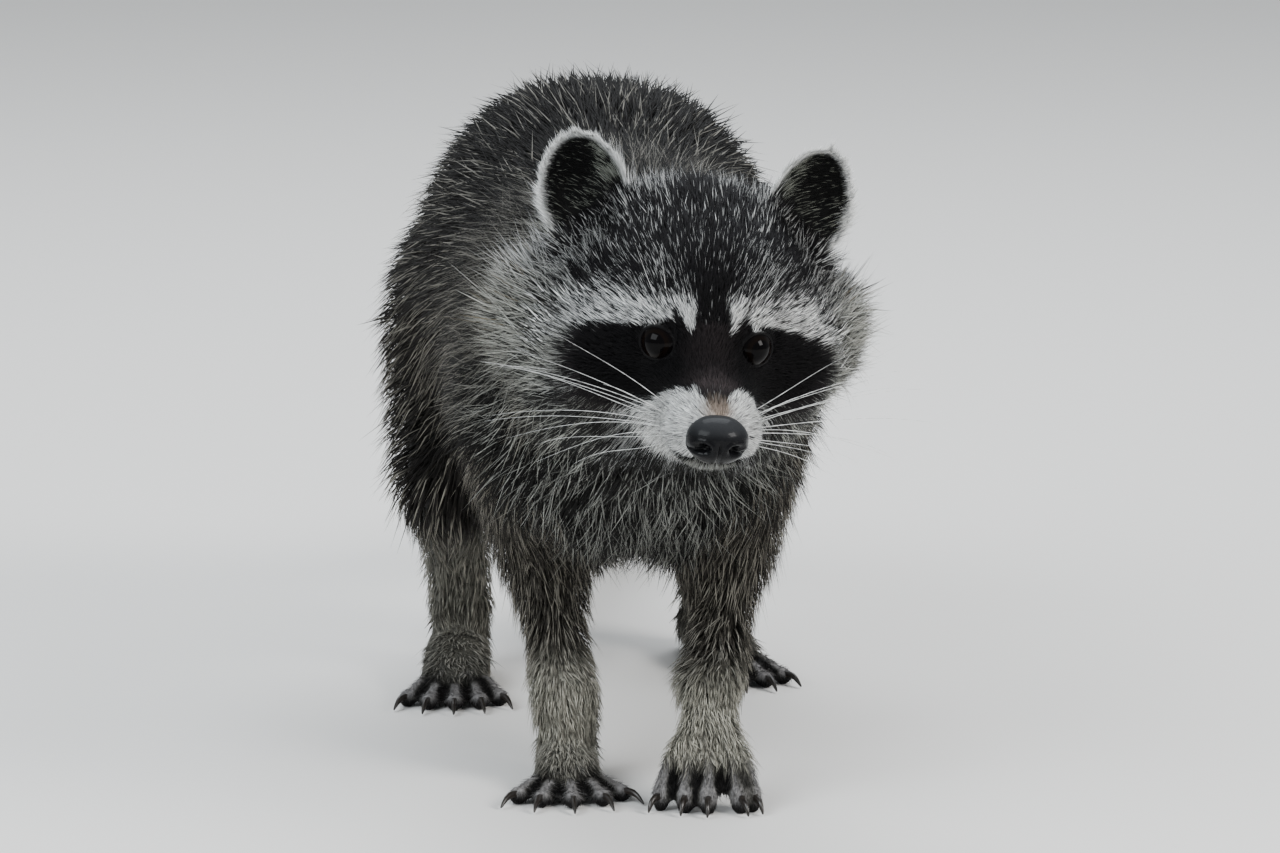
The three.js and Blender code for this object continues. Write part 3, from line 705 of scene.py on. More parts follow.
def neckColours(base, tip, share, places, up):
    aside, back, high = inHead(places).T
    aside = np.abs(aside)
    onNeck = onNodes("neck", "trunk")
    throat = onNeck * (1 - ramp(70, 150, back)) * ramp(0.5, -0.2, up)
    base, tip = laid(base, "throat", 0.8 * throat), laid(tip, "throatTip", throat)
    nape = onNeck * (1 - ramp(90, 140, back)) * ramp(-30, 10, high)
    tufted = nape * ramp(8, 22, aside) * (1 - ramp(44, 60, aside))
    share = share + 0.25 * tufted * (0.5 + 0.5 * drift(places, 30, 31))
    base = laid(base, "buff", 0.25 * nape * ramp(40, 62, aside))
    tip = laid(tip, "ruffTip", tufted)
    # the neck behind and below the ruff is darker, with fewer pale tips: partly painted shade under the ruff,
    # partly its darker fur
    shadeBehindRuff = onNeck * (1 - ramp(105, 135, back)) * (1 - ramp(-30, 10, high))
    base = laid(base, "throat", 0.8 * shadeBehindRuff)
    return base, tip, share * (1 - 0.35 * shadeBehindRuff)


def legColours(base, share, places, up):  # paler down to the wrists and heels, with dark soles and painted shade in the hollows between the toes
    height = places[:, 2]
    hollow = ((evened(places, near, 8) - places) * normals).sum(1)
    arm = onNodes("upper_arm", "forearm", "forepaw") * (1 - ramp(70, 150, height))
    base = laid(base, "arm", arm)
    share = share + (0.42 - share) * arm
    base = laid(base, "wrist", onNodes("forearm", "forepaw") * (1 - ramp(44, 66, height)) * 0.85)
    legs = onNodes("shank", "hindpaw") * (1 - ramp(50, 90, height))
    base = laid(base, "wrist", 0.7 * legs, 0.6)
    feet = onNodes("forepaw", "hindpaw")
    base = laid(base, "hand", feet * (1 - ramp(12, 30, height)) * 0.8)
    share = share + (0.3 - share) * feet
    toes = feet * toeShare(places)
    ridge = 1 - ramp(-0.30, 0.02, hollow)
    base = laid(base, "finger", toes * ridge)
    # the hollows between the toes take the pads' dark colour as painted shade
    dark = np.maximum(toes * (1 - ridge), feet * (1 - ramp(-0.45, -0.05, up)))
    dark = np.maximum(dark, feet * (1 - ramp(3, 7, height)))
    return laid(base, "padAndToeShade", dark), share * (1 - toes) * (1 - dark)


def tailColours(base, share, places):
    along, _ = tailShare(places)
    ringed = onNodes("tail") * ramp(0.08, 0.2, along)
    wave = np.cos(2 * np.pi * (along * 6.2 + 0.1 + 0.03 * drift(places, 12, 33)))
    ring = np.maximum(ramp(-0.1, 0.45, wave), ramp(0.88, 0.93, along))
    base = mixed(base, mixed(paint["tailPale"], paint["ring"], ring), ringed)
    return base, share + (0.25 * (1 - ring) + 0.03 - share) * ringed


def bodyColours(places):
    up = normals[:, 2]
    side = 1 - ramp(-0.1, 0.75, up)
    base = mixed(paint["back"], paint["flank"], side)
    tip = mixed(paint["backTip"], paint["flankTip"], side)
    underside = ramp(-0.3, -0.8, up) * onNodes("trunk") * ramp(60, 160, inHead(places)[:, 1])
    base = laid(base, "belly", underside)
    base, tip, share = neckColours(base, tip, 0.12 + 0.12 * side, places, up)
    base, share = legColours(base, share, places, up)
    base, share = tailColours(base, share, places)
    return base, tip, share


# the ears: a frame for each cup, x across, -y out of the cup and z to the tip
ear = {"root": (46, 55, 40.5), "half": 19.5, "taller": 1.42, "lean": 16, "face": 12, "back": 6}
earSides = ((1, "ear_left"), (-1, "ear_right"))


def earFrame(side):
    lean, face, back = (math.radians(ear[key]) for key in ("lean", "face", "back"))
    spin = Euler((-back, side * lean, side * face), "XYZ").to_matrix()
    return np.array(spin).T


def inEar(places, side):
    root = np.array(ear["root"]) * (side, 1, 1)
    return (inHead(places) - root) @ earFrame(side).T


def edgeOf(cup):  # 0 in the middle of the ear, 1 on its edge
    return np.hypot(cup[:, 0] / ear["half"], cup[:, 2] / (ear["taller"] * ear["half"]))


def earParts(side, node):  # its own points, their places in the cup, the edge's and inside's shares
    own = nodeStarts[node]
    cup = inEar(places[own], side)
    edge = edgeOf(cup)
    facing = inEar(places[own] + normals[own], side)[:, 1] - cup[:, 1]
    return own, cup, edge, 1 - ramp(-0.35, 0.15, facing)


def earColours(base, tip, share):
    for side, node in earSides:
        own, cup, edge, inside = earParts(side, node)
        inner = side * cup[:, 0] / ear["half"]  # -1 on the edge nearest the crown
        dark = mixed(paint["earBack"], paint["earInside"], inside)
        outerSide = ramp(0.1, 0.6, inner) * inside
        outerSide = np.maximum(outerSide, 0.5 * (1 - ramp(-0.7, -0.2, inner)))
        rim = ramp(0.85 - 0.08 * outerSide, 0.94 - 0.08 * outerSide, edge) * ramp(-20, -8, cup[:, 2])
        base[own] = mixed(dark, paint["white"], rim)
        tip[own] = mixed(paint["earHair"], paint["white"], rim)
        hairy = 0.03 + 0.85 * (1 - ramp(-0.75, -0.2, inner)) + 0.14 * (1 - ramp(-2, 9, cup[:, 2]))
        share[own] = 0.2 + (hairy - 0.2) * inside
    return base, tip, share


def rimShare(ends):  # how white the ears' edges make the hair that ends there
    side = np.sign(inHead(ends)[:, 0])
    cup = np.where(side[:, None] > 0, inEar(ends, 1), inEar(ends, -1))
    return ramp(0.90, 1.0, edgeOf(cup)) * ramp(-20, -8, cup[:, 2])


outer = places + normals * depths[:, None]  # where the coat's tips show
headness = evened(onNodes("head", "lower_jaw") * 1.0, near, 40)[:, 0]
headness[onNodes("ear")] = 0


def skinColours():
    base, tip, share = bodyColours(outer)
    headBase, headTip, headShare = headColours(inHead(outer))
    base, tip = mixed(base, headBase, headness), mixed(tip, headTip, headness)
    return earColours(base, tip, share + (headShare - share) * headness)


baseColour, tipColour, tipShare = skinColours()
lips = ramp(0.15, 0.5, lipLine)
baseColour = mixed(baseColour, paint["mask"], lips)
fullness = 1 - 0.5 * lips  # how much longer than usual each place's hair is


def legLie(flow):
    for side in ("left", "right"):
        fore = unit(middleOf(f"forepaw_{side}") - middleOf(f"upper_arm_{side}"))
        hind = unit(middleOf(f"hindpaw_{side}") - middleOf(f"thigh_{side}"))
        flow[nodeStarts[f"forearm_{side}"]] = fore
        flow[nodeStarts[f"shank_{side}"]] = hind
        for end in ("forepaw", "hindpaw"):
            claws = np.mean([middleOf(f"claw_{end}_{side}_{n}") for n in (2, 3, 4)], axis=0)
            heading = unit(claws - middleOf(f"{end}_{side}"))
            flow[nodeStarts[f"{end}_{side}"]] = heading - (0, 0, 0.9)


def earLie(flow):  # up to the edge on the back and rim, across the cup inside it, and longer near the crown
    for side, node in earSides:
        own, cup, edge, inside = earParts(side, node)
        rising = cup * (1, 0, 1) + (0, 0, 32)
        across = np.tile([side * 1.0, -0.2, 0.7], (len(cup), 1))
        heading = np.where(((inside > 0.5) & (edge < 0.85))[:, None], across, rising)
        flow[own] = unit(heading @ earFrame(side)) @ headAxes
        inner = side * cup[:, 0] / ear["half"]
        longer = 1.6 * (1 - ramp(-0.85, -0.3, inner)) + 1.2 * (1 - ramp(0, 10, cup[:, 2]))
        fullness[own] = 1 + inside * longer * (edge < 0.9) + 0.3 * ramp(0.8, 0.95, edge)


def lieOfCoat():
    flow = np.tile([0, 1.0, -0.6], (len(places), 1))
    flow[normals[:, 2] < -0.5] = (0, 1, 0)
    fromNose = inHead(places) - (0, -60, -14)
    hang = 0.45 * ramp(-22, -45, fromNose[:, 2] - 14)
    fromNose[:, 2] -= hang * np.linalg.norm(fromNose, axis=1)
    onHead, onTail = onNodes("head", "lower_jaw"), onNodes("tail")
    flow[onHead] = unit(fromNose @ headAxes)[onHead]
    flow[onNodes("neck")] = unit(np.array([0, 0.8, -0.7]))
    flow[onNodes("upper_arm")] = unit(np.array([0, 0.35, -1]))
    flow[onNodes("thigh")] = unit(np.array([0, 0.5, -1]))
    flow[onTail] = tailShare(places)[1][onTail]
    legLie(flow)
    earLie(flow)
    flow = unit(evened(flow, near, 8))
    return unit(flow - normals * (flow * normals).sum(1)[:, None]), flow


flow, lie = lieOfCoat()  # along the skin, and as it would run without it
# the skin's colour darkened off the toes: painted shade under the hairs, and partly darker underfur
skinShadeAndUnderfur = 1 - 0.45 * (1 - toeShare(places) * onNodes("forepaw", "hindpaw"))
setColours(skin.data, "coatColour", baseColour * skinShadeAndUnderfur[:, None])

editing(
    skin,
    lambda: bpy.ops.mesh.select_all(action="SELECT"),
    lambda: bpy.ops.uv.smart_project(angle_limit=math.radians(66), island_margin=0.001),
)
skin.data.uv_layers[0].name = "OFBake"
corners = np.empty(len(skin.data.loops), np.int32)
skin.data.loops.foreach_get("vertex_index", corners)
corners = corners.reshape(-1, 3)
unwrapped = np.empty(len(skin.data.loops) * 2, np.float32)
skin.data.uv_layers["OFBake"].data.foreach_get("uv", unwrapped)
unwrapped = unwrapped.reshape(-1, 3, 2)
across = places[corners[:, 1]] - places[corners[:, 0]]
upward = places[corners[:, 2]] - places[corners[:, 0]]
faceArea = np.linalg.norm(np.cross(across, upward), axis=1) / 2
print("skin unwrapped")


# the coat: closed tapered tufts rooted in the skin
bent = ((0, 0.45), (0.95, 0.85))  # each ring's place along a tuft, then its width
straight = ((0,), (1,))
patch = 0.003  # the side of each tuft's own spot in the unwrap
usualLook = {
    "swing": 0.4,  # slow turns of the lie, in radians
    "stray": 0.16,  # each tuft's own turn
    "lift": 0.9,  # share of the coat's depth that a tuft rises
    "stand": 0.25,
    "guards": 0.22,  # share of long thin guard hairs
    "lock": 7,  # tufts whose tips gather into one lock
    "hold": 0.5,  # how far they gather
    "paler": 0,  # share of pale tips beside those that the place has
    "rim": False,  # whether the ears' edges whiten what ends there
    "tail": 0,  # 1 where hair may run on past the end of the skin
    "rootShade": 0.36,  # how light the roots are beside the tips: painted shade deep in the coat between the hairs, and partly darker underfur
    "slot": "coat_body",
}


def lockedEnds(root, end, look):
    count = len(root)
    centres = chance.choice(count, max(1, count // look["lock"]), replace=False)
    tree = KDTree(len(centres))
    for number, spot in enumerate(root[centres].tolist()):
        tree.insert(spot, number)
    tree.balance()
    nearest = centres[[tree.find(spot)[1] for spot in root.tolist()]]
    wanted = unit(end[nearest] + (root - root[nearest]) * 0.3 - root)
    length = np.linalg.norm(end - root, axis=1)[:, None]
    hold = look["hold"] * chance.uniform(0.3, 1.3, count)
    return root + unit(mixed(unit(end - root), wanted, hold)) * length


def rootsOn(share, count):  # each tuft's face of the skin, and each corner's share in its place there
    total = np.cumsum(faceArea * share[corners].mean(1))
    picks = (np.arange(count) + chance.random(count)) / count * total[-1]
    face = np.minimum(np.searchsorted(total, picks), len(total) - 1)
    first, second = np.sqrt(chance.random(count)), chance.random(count)
    return face, np.stack([1 - first, first * (1 - second), first * second], 1)


def tuftForm(at, guard, look):  # each tuft's root and end, what is up and aside there, its height and width
    count = look["count"]

    def scaled(low, high, guardShare):
        return chance.uniform(low, high, count) * np.where(guard, guardShare, 1.0)

    root, normal, depth, heading = at(places), unit(at(normals)), at(depths), at(flow)
    heading = unit(heading - normal * (heading * normal).sum(1)[:, None])
    swing = look["swing"] * (0.4 * drift(root, 26, 3) + 0.5 * drift(root, 9, 4))
    swing = swing + chance.normal(0, look["stray"], count) * np.where(guard, 1.7, 1)
    heading = heading * np.cos(swing)[:, None] + np.cross(normal, heading) * np.sin(swing)[:, None]
    length = (look["length"] + look["longer"] * depth) * at(fullness) * scaled(0.65, 1.12, 1.3)
    height = (depth * look["lift"] + look["stand"]) * scaled(0.6, 1.12, 1.2) * at(standing)
    height = np.minimum(height, length * 0.8)
    flat = np.sqrt(np.maximum(length**2 - height**2, 0.04 * length**2))
    width = look["width"] * scaled(0.75, 1.25, 0.6)
    end = root + normal * height[:, None] + heading * flat[:, None]
    onward = unit(at(lie))
    facing = ramp(0.45, 0.85, (onward * normal).sum(1)) * look["tail"]
    end = lockedEnds(root, mixed(end, root + onward * length[:, None], facing), look)
    return root, end, normal, np.cross(normal, heading), height, width


def tuftColours(at, root, end, guard, dice, look):  # each tuft's colour, its tip's, and which tips are pale
    count = look["count"]
    colour, tip, tipped = at(baseColour), at(tipColour), at(tipShare)
    headColour, headTip, headTipped = headColours(inHead(mixed(root, end, np.full(count, 0.7))), dice)
    onHead = at(headness) > chance.uniform(0.1, 0.9, count)
    colour[onHead], tip[onHead], tipped[onHead] = headColour[onHead], headTip[onHead], headTipped[onHead]
    if look["rim"]:
        rim = rimShare(end)
        colour = mixed(colour, paint["white"], 0.85 * rim)
        tip, tipped = mixed(tip, paint["white"], rim), np.maximum(tipped, rim)
    onLips = chance.random(count) < 1.3 * at(lips)
    colour[onLips], tip[onLips], tipped[onLips] = paint["mask"], paint["mask"], 0
    shade = chance.uniform(0.60, 1.35, count) * (1 + 0.14 * drift(root, 16, 5) + 0.12 * drift(root, 5, 6))
    colour = colour * shade[:, None]
    tipped = tipped * np.where(guard, 1.7, 0.8) * (1 + 0.45 * drift(root, 12, 7)) + look["paler"]
    lit = chance.random(count) < tipped
    tip = np.where(lit[:, None], tip * chance.uniform(0.5, 1.2, count)[:, None], colour * 1.1)
    return colour, tip, lit


def tuftFaces(each):  # one tuft's triangles: a foot, walls from ring to ring, and a point
    sides = ((0, 1), (1, 2), (2, 0))
    faces = [(0, 1, 2)]
    for low in range(0, each - 4, 3):
        for a, b in sides:
            faces += [(low + 3 + b, low + b, low + a), (low + 3 + a, low + 3 + b, low + a)]
    return np.array(faces + [(each - 1, each - 4 + b, each - 4 + a) for a, b in sides])


def growCoat(name, share, look):
    look = {**usualLook, **look}
    count = look["count"]
    face, parts = rootsOn(share, count)

    def at(field):
        values = field[corners[face]]
        return (values * parts.reshape(parts.shape + (1,) * (values.ndim - 2))).sum(1)

    guard, dice = chance.random(count) < look["guards"], chance.random(count)
    root, end, normal, aside, height, width = tuftForm(at, guard, look)
    colour, tip, lit = tuftColours(at, root, end, guard, dice, look)
    spot = (unwrapped[face] * parts[:, :, None]).sum(1)
    points, colours, alongs, strands, spots = [], [], [], [], []
    for part, wide in zip(*look["shape"]):
        bow = 1 - (1 - part) ** 1.8 - part  # a tuft rises first and then lies down
        centre = mixed(root, end, np.full(count, part)) + normal * (height * bow - 0.3 * (part == 0))[:, None]
        half = width * wide / 2
        points += [centre - aside * half[:, None], centre + aside * half[:, None]]
        points.append(centre + normal * (half * 0.7)[:, None])
        # each root darkened: painted shade between the hairs, and partly darker underfur
        tone = mixed(colour * look["rootShade"], colour, np.full(count, min(1.0, part * 2)))
        if part > 0.3:
            tone = mixed(tone, tip, 0.25 + 0.3 * lit)
        colours += [tone] * 3
        alongs += [np.full(count, part)] * 3
        strands += [np.zeros(count), np.ones(count), np.full(count, 0.5)]
        spots += [spot + (patch * (over - 0.5), patch * (part - 0.5)) for over in (0, 1, 0.5)]
    points.append(end)
    colours.append(tip)
    alongs.append(np.ones(count))
    strands.append(np.full(count, 0.5))
    spots.append(spot + (0, patch / 2))
    each = len(points)
    every = (np.arange(count)[:, None, None] * each + tuftFaces(each)[None]).reshape(-1, 3)
    together = np.stack(points, 1).reshape(-1, 3)
    together[:, 2] = np.maximum(together[:, 2], skinLook["clearance"])
    piece = meshPiece(name, together, every)
    setColours(piece.data, "coatColour", np.stack(colours, 1).reshape(-1, 3))
    setShares(piece.data, "along", np.stack(alongs, 1).ravel())
    setShares(piece.data, "strand", (np.stack(strands, 1) + chance.random(count)[:, None] * 40).ravel())
    layer = piece.data.uv_layers.new(name="OFBake")
    layer.data.foreach_set("uv", np.stack(spots, 1).reshape(-1, 2)[every.ravel()].astype(np.float32).ravel())
    piece.data.materials.append(coatMaterial)
    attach(piece, "root")
    print(name, "grown:", len(every), "triangles")


# materials: small parts that several of them use
def attributeOf(nodes, name):
    found = nodes.new("ShaderNodeAttribute")
    found.attribute_name = name
    return found


def tones(nodes, *stops):  # a colour ramp through its stops, each a place and a colour
    made = nodes.new("ShaderNodeValToRGB")
    elements = made.color_ramp.elements
    for number, (place, colour) in enumerate(stops):
        element = elements[number] if number < 2 else elements.new(place)
        element.position = place
        element.color = (*colour, 1)
    return made


def bumped(made, height, strength, distance):  # a bump from a height, into the material's normal
    nodes, links = made.node_tree.nodes, made.node_tree.links
    raised = nodes.new("ShaderNodeBump")
    raised.inputs["Strength"].default_value = strength
    raised.inputs["Distance"].default_value = distance
    links.new(height, raised.inputs["Height"])
    links.new(raised.outputs["Normal"], nodes["Principled BSDF"].inputs["Normal"])
    return raised


def hairGrain():  # fine streaks along the hairs: a tone round 1, a roughness and a height
    group = bpy.data.node_groups.new("hairGrain", "ShaderNodeTree")
    for socket, kind in (("Vector", "NodeSocketVector"), ("Scale", "NodeSocketFloat")):
        group.interface.new_socket(socket, in_out="INPUT", socket_type=kind)
    for socket in ("Tone", "Roughness", "Height"):
        group.interface.new_socket(socket, in_out="OUTPUT", socket_type="NodeSocketFloat")
    start, finish = group.nodes.new("NodeGroupInput"), group.nodes.new("NodeGroupOutput")
    streaks = group.nodes.new("ShaderNodeTexNoise")
    streaks.inputs["Detail"].default_value = 3
    group.links.new(start.outputs["Vector"], streaks.inputs["Vector"])
    group.links.new(start.outputs["Scale"], streaks.inputs["Scale"])
    for socket, low, high in (("Tone", 0.62, 1.38), ("Roughness", 0.42, 0.78)):
        spread = group.nodes.new("ShaderNodeMapRange")
        spread.inputs["From Min"].default_value = 0.3
        spread.inputs["From Max"].default_value = 0.7
        spread.inputs["To Min"].default_value = low
        spread.inputs["To Max"].default_value = high
        group.links.new(streaks.outputs["Fac"], spread.inputs["Value"])
        group.links.new(spread.outputs["Result"], finish.inputs[socket])
    group.links.new(streaks.outputs["Fac"], finish.inputs["Height"])
    return group


def hairFinish(name, vectorOf, scale, bump):  # attribute colours, streaked by the grain
    made, nodes, links, shader = newMaterial(name)
    colour = attributeOf(nodes, "coatColour")
    grain = nodes.new("ShaderNodeGroup")
    grain.node_tree = grainGroup
    grain.inputs["Scale"].default_value = scale
    links.new(vectorOf(made.node_tree), grain.inputs["Vector"])
    tinted = nodes.new("ShaderNodeVectorMath")
    tinted.operation = "SCALE"
    links.new(colour.outputs["Color"], tinted.inputs["Vector"])
    links.new(grain.outputs["Tone"], tinted.inputs["Scale"])
    links.new(tinted.outputs["Vector"], shader.inputs["Base Color"])
    links.new(grain.outputs["Roughness"], shader.inputs["Roughness"])
    bumped(made, grain.outputs["Height"], bump, 0.0002)
    shader.inputs["Specular IOR Level"].default_value = 0.10
    return made


def alongStrands(tree):  # across each tuft, and slowly along it
    nodes, links = tree.nodes, tree.links
    strand, along = attributeOf(nodes, "strand"), attributeOf(nodes, "along")
    slow = nodes.new("ShaderNodeMath")
    slow.operation = "MULTIPLY"
    slow.inputs[1].default_value = 0.5
    links.new(along.outputs["Fac"], slow.inputs[0])
    vector = nodes.new("ShaderNodeCombineXYZ")
    links.new(strand.outputs["Fac"], vector.inputs["X"])
    links.new(slow.outputs["Value"], vector.inputs["Y"])
    return vector.outputs["Vector"]


def overSkin(tree):
    return tree.nodes.new("ShaderNodeTexCoord").outputs["Object"]


grainGroup = hairGrain()
coatMaterial = hairFinish("furCoat", alongStrands, 3.5, 0.5)

# how much of each coat grows at each place of the skin
aside, back, high = inHead(outer).T
aside = np.abs(aside)
onHead = onNodes("head", "lower_jaw") * 1.0
nearEye = np.minimum.reduce([
    openingShare(unit(places - middle), gaze) + 9.0 * ramp(12, 20, np.linalg.norm(places - middle, axis=1))
    for middle, gaze in eyes.values()
])
bare = ramp(1.03, 1.14, nearEye)  # no hair inside the lids
fromPad = np.linalg.norm((inHead(outer) - (0, -57, -20)) / (1.3, 1.1, 1.0), axis=1)
front = onHead * (1 - ramp(14, 26, back)) * bare * ramp(8.5, 12.5, fromPad)
top = onHead * ramp(14, 26, back) * ramp(2, 12, high - 0.1 * back)
sides = onHead * ramp(14, 26, back) * (1 - ramp(2, 12, high - 0.1 * back))
trunk, neck, paws = onNodes("trunk") * 1.0, onNodes("neck") * 1.0, onNodes("forepaw", "hindpaw") * 1.0
shoulders = 1 - ramp(-60, -20, places[:, 1] - middleOf("trunk")[1])
nape = (neck + trunk * shoulders) * ramp(-45, -10, high) * (1 - ramp(150, 200, back))
ruff = onHead * ramp(18, 34, back) * ramp(30, 52, aside)
ruff = ruff + neck * (0.35 + 0.4 * ramp(30, 50, aside)) + 0.6 * nape
chest = trunk * shoulders * ramp(-0.1, 0.4, -normals[:, 1]) * 0.5
crest = onHead * ramp(18, 44, back) * ramp(24, 38, high) * (1 - ramp(26, 38, aside))
upperPaws = 1.3 * paws * ramp(-0.3, 0.1, normals[:, 2]) * ramp(3, 10, places[:, 2]) * (1 - toeShare(places))
foreHalf = onNodes("forepaw", "forearm", "upper_arm") * 1.0
sole = ramp(-0.55, -0.1, normals[:, 2])
tailEnd = onNodes("tail") * ramp(0.86, 1.0, tailShare(places)[0])
fullness = fullness * (1 + 0.25 * nape) * (1 + 0.3 * onHead * ramp(46, 70, aside)) * (1 + 0.6 * crest)
fullness = fullness * (1 - 0.25 * tailEnd)
standing = 1 + 2.0 * crest  # how much more upright than usual each place's hair is
faceLook = {"slot": "coat_head", "swing": 0.25, "stray": 0.12, "rootShade": 0.55, "guards": 0.15, "hold": 0.3}
coats = {
    "coatFace": (
        front,
        {**faceLook, "count": 44000, "width": 0.42, "length": 2.8, "longer": 1.0, "shape": straight},
    ),
    "coatCrown": (
        top,
        {**faceLook, "count": 18000, "width": 0.56, "length": 7, "longer": 1.0, "shape": bent, "hold": 0.4},
    ),
    "coatCheeks": (
        sides,
        {**faceLook, "count": 17500, "width": 0.60, "length": 8.5, "longer": 1.2, "shape": bent, "hold": 0.5},
    ),
    "coatEars": (
        onNodes("ear") * 1.0,
        {
            **faceLook, "count": 17000, "width": 0.34, "length": 4.0, "longer": 0, "shape": straight,
            "rim": True,
        },
    ),
    "coatRuff": (
        ruff + chest,
        {
            "slot": "coat_head", "count": 7500, "width": 0.42, "length": 13, "longer": 0.9, "shape": bent,
            "lift": 1.15, "stray": 0.3, "guards": 1.0, "hold": 0.35, "paler": 0.2,
        },
    ),
    "coatNeck": (neck, {"count": 11000, "width": 0.95, "length": 9, "longer": 1.3, "shape": bent}),
    "coatChest": (
        trunk * shoulders,
        {
            "count": 15500, "width": 0.9, "length": 11, "longer": 1.4, "shape": bent, "guards": 0.3,
            "hold": 0.4,
        },
    ),
    "coatBack": (
        trunk * (1 - shoulders),
        {"count": 13500, "width": 1.15, "length": 11, "longer": 1.5, "shape": bent, "hold": 0.4},
    ),
    "coatForelegs": (
        onNodes("upper_arm", "forearm") + upperPaws * foreHalf,
        {"count": 13000, "width": 0.75, "length": 6, "longer": 1.1, "shape": bent},
    ),
    "coatHindlegs": (
        onNodes("thigh", "shank") + upperPaws * (1 - foreHalf),
        {"count": 10500, "width": 0.9, "length": 7, "longer": 1.2, "shape": bent},
    ),
    "coatPaws": (
        paws * sole,
        {
            "count": 21000, "width": 0.46, "length": 2.4, "longer": 1.2, "shape": straight, "lift": 0.75,
            "stray": 0.2, "hold": 0.3, "rootShade": 0.8,
        },
    ),
    "coatTail": (
        onNodes("tail") * 1.0,
        {
            "slot": "coat_tail", "count": 10500, "width": 1.15, "length": 10, "longer": 1.4, "shape": bent,
            "tail": 1,
        },
    ),
}
for coatName, (share, look) in coats.items():
    growCoat(coatName, share, look)


# the eyes: a ball with a raised cornea, and a wet rim along the lids
def eyePiece(name, middle, gaze):
    bpy.ops.object.select_all(action="DESELECT")
    bpy.ops.mesh.primitive_uv_sphere_add(
        segments=eyeball["spokes"], ring_count=eyeball["rings"], radius=eyeball["radius"] * mm
    )
    piece = bpy.context.active_object
    piece.name = piece.data.name = name
    ball = placesOf(piece.data)
    angle = np.degrees(np.arccos(np.clip(ball[:, 2] / eyeball["radius"], -1, 1)))
    swell = 1 - np.clip(angle / eyeball["corneaAngle"], 0, 1) ** 2
    ball = ball * (1 + eyeball["cornea"] / eyeball["radius"] * swell**1.5)[:, None]
    setPlaces(piece.data, middle + ball @ gaze)
    setShares(piece.data, "gazeAngle", angle / 90)
    turned = np.degrees(np.arctan2(ball[:, 1], ball[:, 0]))
    setShares(piece.data, "gazeTurn", turned / 360)
    piece.data.shade_smooth()
    piece.data.materials.append(eyeMaterial)
    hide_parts(name.replace("Left", "_left").replace("Right", "_right"))
    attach(piece, "root")


def eyeFinish():
    made, nodes, links, shader = newMaterial("eyeGloss")
    angle, turned = attributeOf(nodes, "gazeAngle"), attributeOf(nodes, "gazeTurn")
    spokes = nodes.new("ShaderNodeCombineXYZ")
    links.new(angle.outputs["Fac"], spokes.inputs["X"])
    links.new(turned.outputs["Fac"], spokes.inputs["Y"])
    fibres = nodes.new("ShaderNodeMapping")
    fibres.inputs["Scale"].default_value = (1.5, 60, 1)
    links.new(spokes.outputs["Vector"], fibres.inputs["Vector"])
    noise = nodes.new("ShaderNodeTexNoise")
    noise.inputs["Scale"].default_value = 2.0
    links.new(fibres.outputs["Vector"], noise.inputs["Vector"])
    iris = tones(nodes, (0, (0.0018, 0.0012, 0.0011)), (1, (0.0060, 0.0036, 0.0025)))
    links.new(noise.outputs["Fac"], iris.inputs["Fac"])
    # no iris over the pupil, then all of it, and less towards the ring round it
    irisShares = ((0.30, 0.0), (0.34, 1.0), (0.42, 0.8), (0.50, 0.08))
    zones = tones(nodes, *[(place, [share] * 3) for place, share in irisShares])
    links.new(angle.outputs["Fac"], zones.inputs["Fac"])
    blend = nodes.new("ShaderNodeMix")
    blend.data_type = "RGBA"
    blend.inputs["A"].default_value = (0.0015, 0.0012, 0.0014, 1)
    links.new(zones.outputs["Color"], blend.inputs["Factor"])
    links.new(iris.outputs["Color"], blend.inputs["B"])
    links.new(blend.outputs["Result"], shader.inputs["Base Color"])
    shader.inputs["Roughness"].default_value = 0.05
    shader.inputs["Specular IOR Level"].default_value = 0.052
    shader.inputs["Coat Weight"].default_value = 0.035
    shader.inputs["Coat Roughness"].default_value = 0.02
    return made


lidRim = {
    "tube": 0.30,
    "flat": 0.8,
    "wide": 1.25,
    "lift": 0.05,
    "corner": 0.05,  # how far the corners are drawn out
    "clear": 0.02,
    "sides": 10,
    "spokes": 96,
}


def ringFaces(spokes, sides):  # the triangles of a closed ring of closed sections
    faces = []
    for a in range(spokes):
        b = (a + 1) % spokes
        for c in range(sides):
            d = (c + 1) % sides
            faces.append((a * sides + c, b * sides + c, b * sides + d))
            faces.append((a * sides + c, b * sides + d, a * sides + d))
    return np.array(faces)


def lidPiece(name, middle, gaze):
    wide, tall = (math.asin(half / eyeball["radius"]) for half in skinLook["lidOpening"])
    around = np.linspace(0, 2 * np.pi, lidRim["spokes"], endpoint=False)
    limit = 1 / np.sqrt((np.cos(around) / wide) ** 2 + (np.sin(around) / tall) ** 2)
    limit = limit * (1 + lidRim["corner"] * np.maximum(0, np.cos(around * 2)) ** 4) + lidRim["clear"]
    outward = np.stack([np.cos(around) * np.sin(limit), np.sin(around) * np.sin(limit), np.cos(limit)], 1)
    edge = outward * (eyeball["radius"] + lidRim["lift"])
    over = np.cross(unit(np.roll(edge, -1, axis=0) - np.roll(edge, 1, axis=0)), outward)
    points = []
    for step in range(lidRim["sides"]):
        turn = 2 * np.pi * step / lidRim["sides"]
        offset = outward * math.cos(turn) * lidRim["flat"] + over * math.sin(turn) * lidRim["wide"]
        points.append(edge + lidRim["tube"] * offset)
    ring = np.stack(points, 1).reshape(-1, 3)
    piece = meshPiece(name, middle + ring @ gaze, ringFaces(lidRim["spokes"], lidRim["sides"]))
    outwards(piece)
    piece.data.materials.append(lidMaterial)
    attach(piece, "root")


def outwards(piece):
    editing(
        piece,
        lambda: bpy.ops.mesh.select_all(action="SELECT"),
        lambda: bpy.ops.mesh.normals_make_consistent(inside=False),
    )


